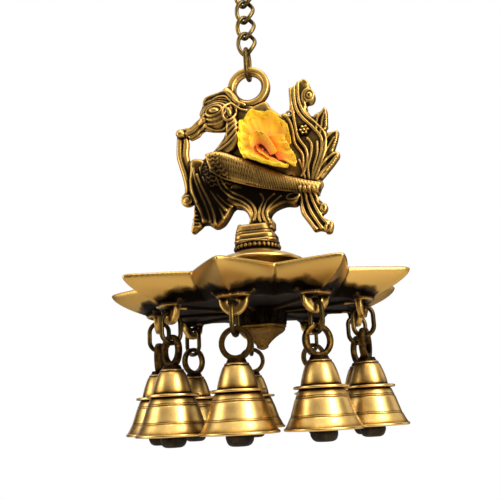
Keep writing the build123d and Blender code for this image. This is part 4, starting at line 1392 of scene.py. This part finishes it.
def room():
    v = roomValues
    world = bpy.data.worlds.new("room")
    bpy.context.scene.world = world
    world.use_nodes = True
    tree = world.node_tree
    tree.nodes.clear()
    light = addNode(tree, "ShaderNodeLightPath")
    seen = light.outputs["Is Camera Ray"]
    for ray in ("Is Glossy Ray", "Is Transmission Ray"):
        seen = addNode(tree, "ShaderNodeMath", {"operation": "MAXIMUM"},
                       i0=seen, i1=light.outputs[ray]).outputs[0]
    strength = addNode(tree, "ShaderNodeMapRange", Value=seen, To_Min=v["fill"],
        To_Max=1.0).outputs[0]
    back = addNode(tree, "ShaderNodeBackground", Color=toLinear(v["white"]), Strength=strength)
    tree.links.new(back.outputs[0], addNode(tree, "ShaderNodeOutputWorld").inputs[0])

    lowest = min(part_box(node)[0].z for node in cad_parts) - v["floorDrop"] * mm
    half = v["floorHalf"] * mm
    mesh = bpy.data.meshes.new("floor")
    mesh.from_pydata([(-half, -half, lowest), (half, -half, lowest), (half, half, lowest),
                      (-half, half, lowest)], [], [(0, 1, 2, 3)])
    floor = bpy.data.objects.new("floor", mesh)
    bpy.context.scene.collection.objects.link(floor)
    material, tree, shader, place = newMaterial("palePaper")
    shader.inputs["Base Color"].default_value = toLinear(v["floor"])
    shader.inputs["Roughness"].default_value = 0.8
    mesh.materials.append(material)


# place is turn about the lamp, height and distance from its middle, in millimetres
lampValues = {
    "key": {"turn": 52, "rise": 260, "reach": 700, "size": (260, 700), "power": 7.5},
    "side": {"turn": -62, "rise": 120, "reach": 760, "size": (300, 600), "power": 2.2},
    "top": {"turn": 10, "rise": 760, "reach": 260, "size": (500, 500), "power": 3.0},
}
# dark curtains beside the lamps: polished brass needs something dark to reflect
curtainValues = {
    "colour": "#2A1B0E", "reach": 1150, "height": 1500, "foot": -900,
    "panels": [(-15, 50), (88, 34), (-108, 40), (160, 44), (-160, 30)],
}


def studio():
    middle = Vector((0, 0, rimLevel))
    for name, v in lampValues.items():
        light = bpy.data.lights.new(name, "AREA")
        light.shape = "RECTANGLE"
        light.size, light.size_y = v["size"][0] * mm, v["size"][1] * mm
        light.energy = v["power"]
        lamp = bpy.data.objects.new(name, light)
        turn = math.radians(v["turn"])
        lamp.location = middle + Vector((math.sin(turn) * v["reach"], -math.cos(turn) * v["reach"],
                                         v["rise"])) * mm
        lamp.rotation_euler = (middle - lamp.location).to_track_quat("-Z", "Y").to_euler()
        bpy.context.scene.collection.objects.link(lamp)
    v = curtainValues
    material, tree, shader, place = newMaterial("curtain")
    shader.inputs["Base Color"].default_value = toLinear(v["colour"])
    shader.inputs["Roughness"].default_value = 0.9
    for number, (turn, width) in enumerate(v["panels"]):
        verts = []
        for side in (-1, 1):
            angle = math.radians(turn + side * width / 2)
            for level in (v["foot"], v["foot"] + v["height"]):
                verts.append((math.sin(angle) * v["reach"] * mm, -math.cos(angle) * v["reach"] * mm,
                              rimLevel + level * mm))
        mesh = bpy.data.meshes.new(f"curtain{number}")
        mesh.from_pydata(verts, [], [(0, 1, 3, 2)])
        mesh.materials.append(material)
        curtain = bpy.data.objects.new(f"curtain{number}", mesh)
        bpy.context.scene.collection.objects.link(curtain)
        curtain.visible_camera = False


cameraValues = {
    "lens": 49.12, "turn": 13.3, "pitch": 13.48, "roll": -2.91, "distance": 368.7,
    "aim": (-4.08, 0, 20.4),
}


def camera():
    v = cameraValues
    pitch, roll, turn = (math.radians(v[key]) for key in ("pitch", "roll", "turn"))
    ahead = Vector((0, math.cos(pitch), math.sin(pitch)))
    up = Vector((0, -math.sin(pitch), math.cos(pitch)))
    right = Vector((1, 0, 0))
    tiltedRight = right * math.cos(roll) + up * math.sin(roll)
    tiltedUp = up * math.cos(roll) - right * math.sin(roll)
    place = Vector(v["aim"]) - ahead * v["distance"]
    facing = Matrix((tiltedRight, tiltedUp, -ahead)).transposed().to_4x4()
    spin = Matrix.Rotation(turn, 4, "Z")
    data = bpy.data.cameras.new("camera")
    data.lens, data.sensor_width = v["lens"], 36
    data.clip_start, data.clip_end = 0.01, 20
    eye = bpy.data.objects.new("camera", data)
    bpy.context.scene.collection.objects.link(eye)
    eye.matrix_world = (Matrix.Translation((0, 0, rimLevel)) @ spin
                        @ Matrix.Translation(place * mm) @ facing)
    bpy.context.scene.camera = eye


room()
studio()
camera()
bpy.context.scene.view_settings.view_transform = "Standard"
print("room, light and camera ready")
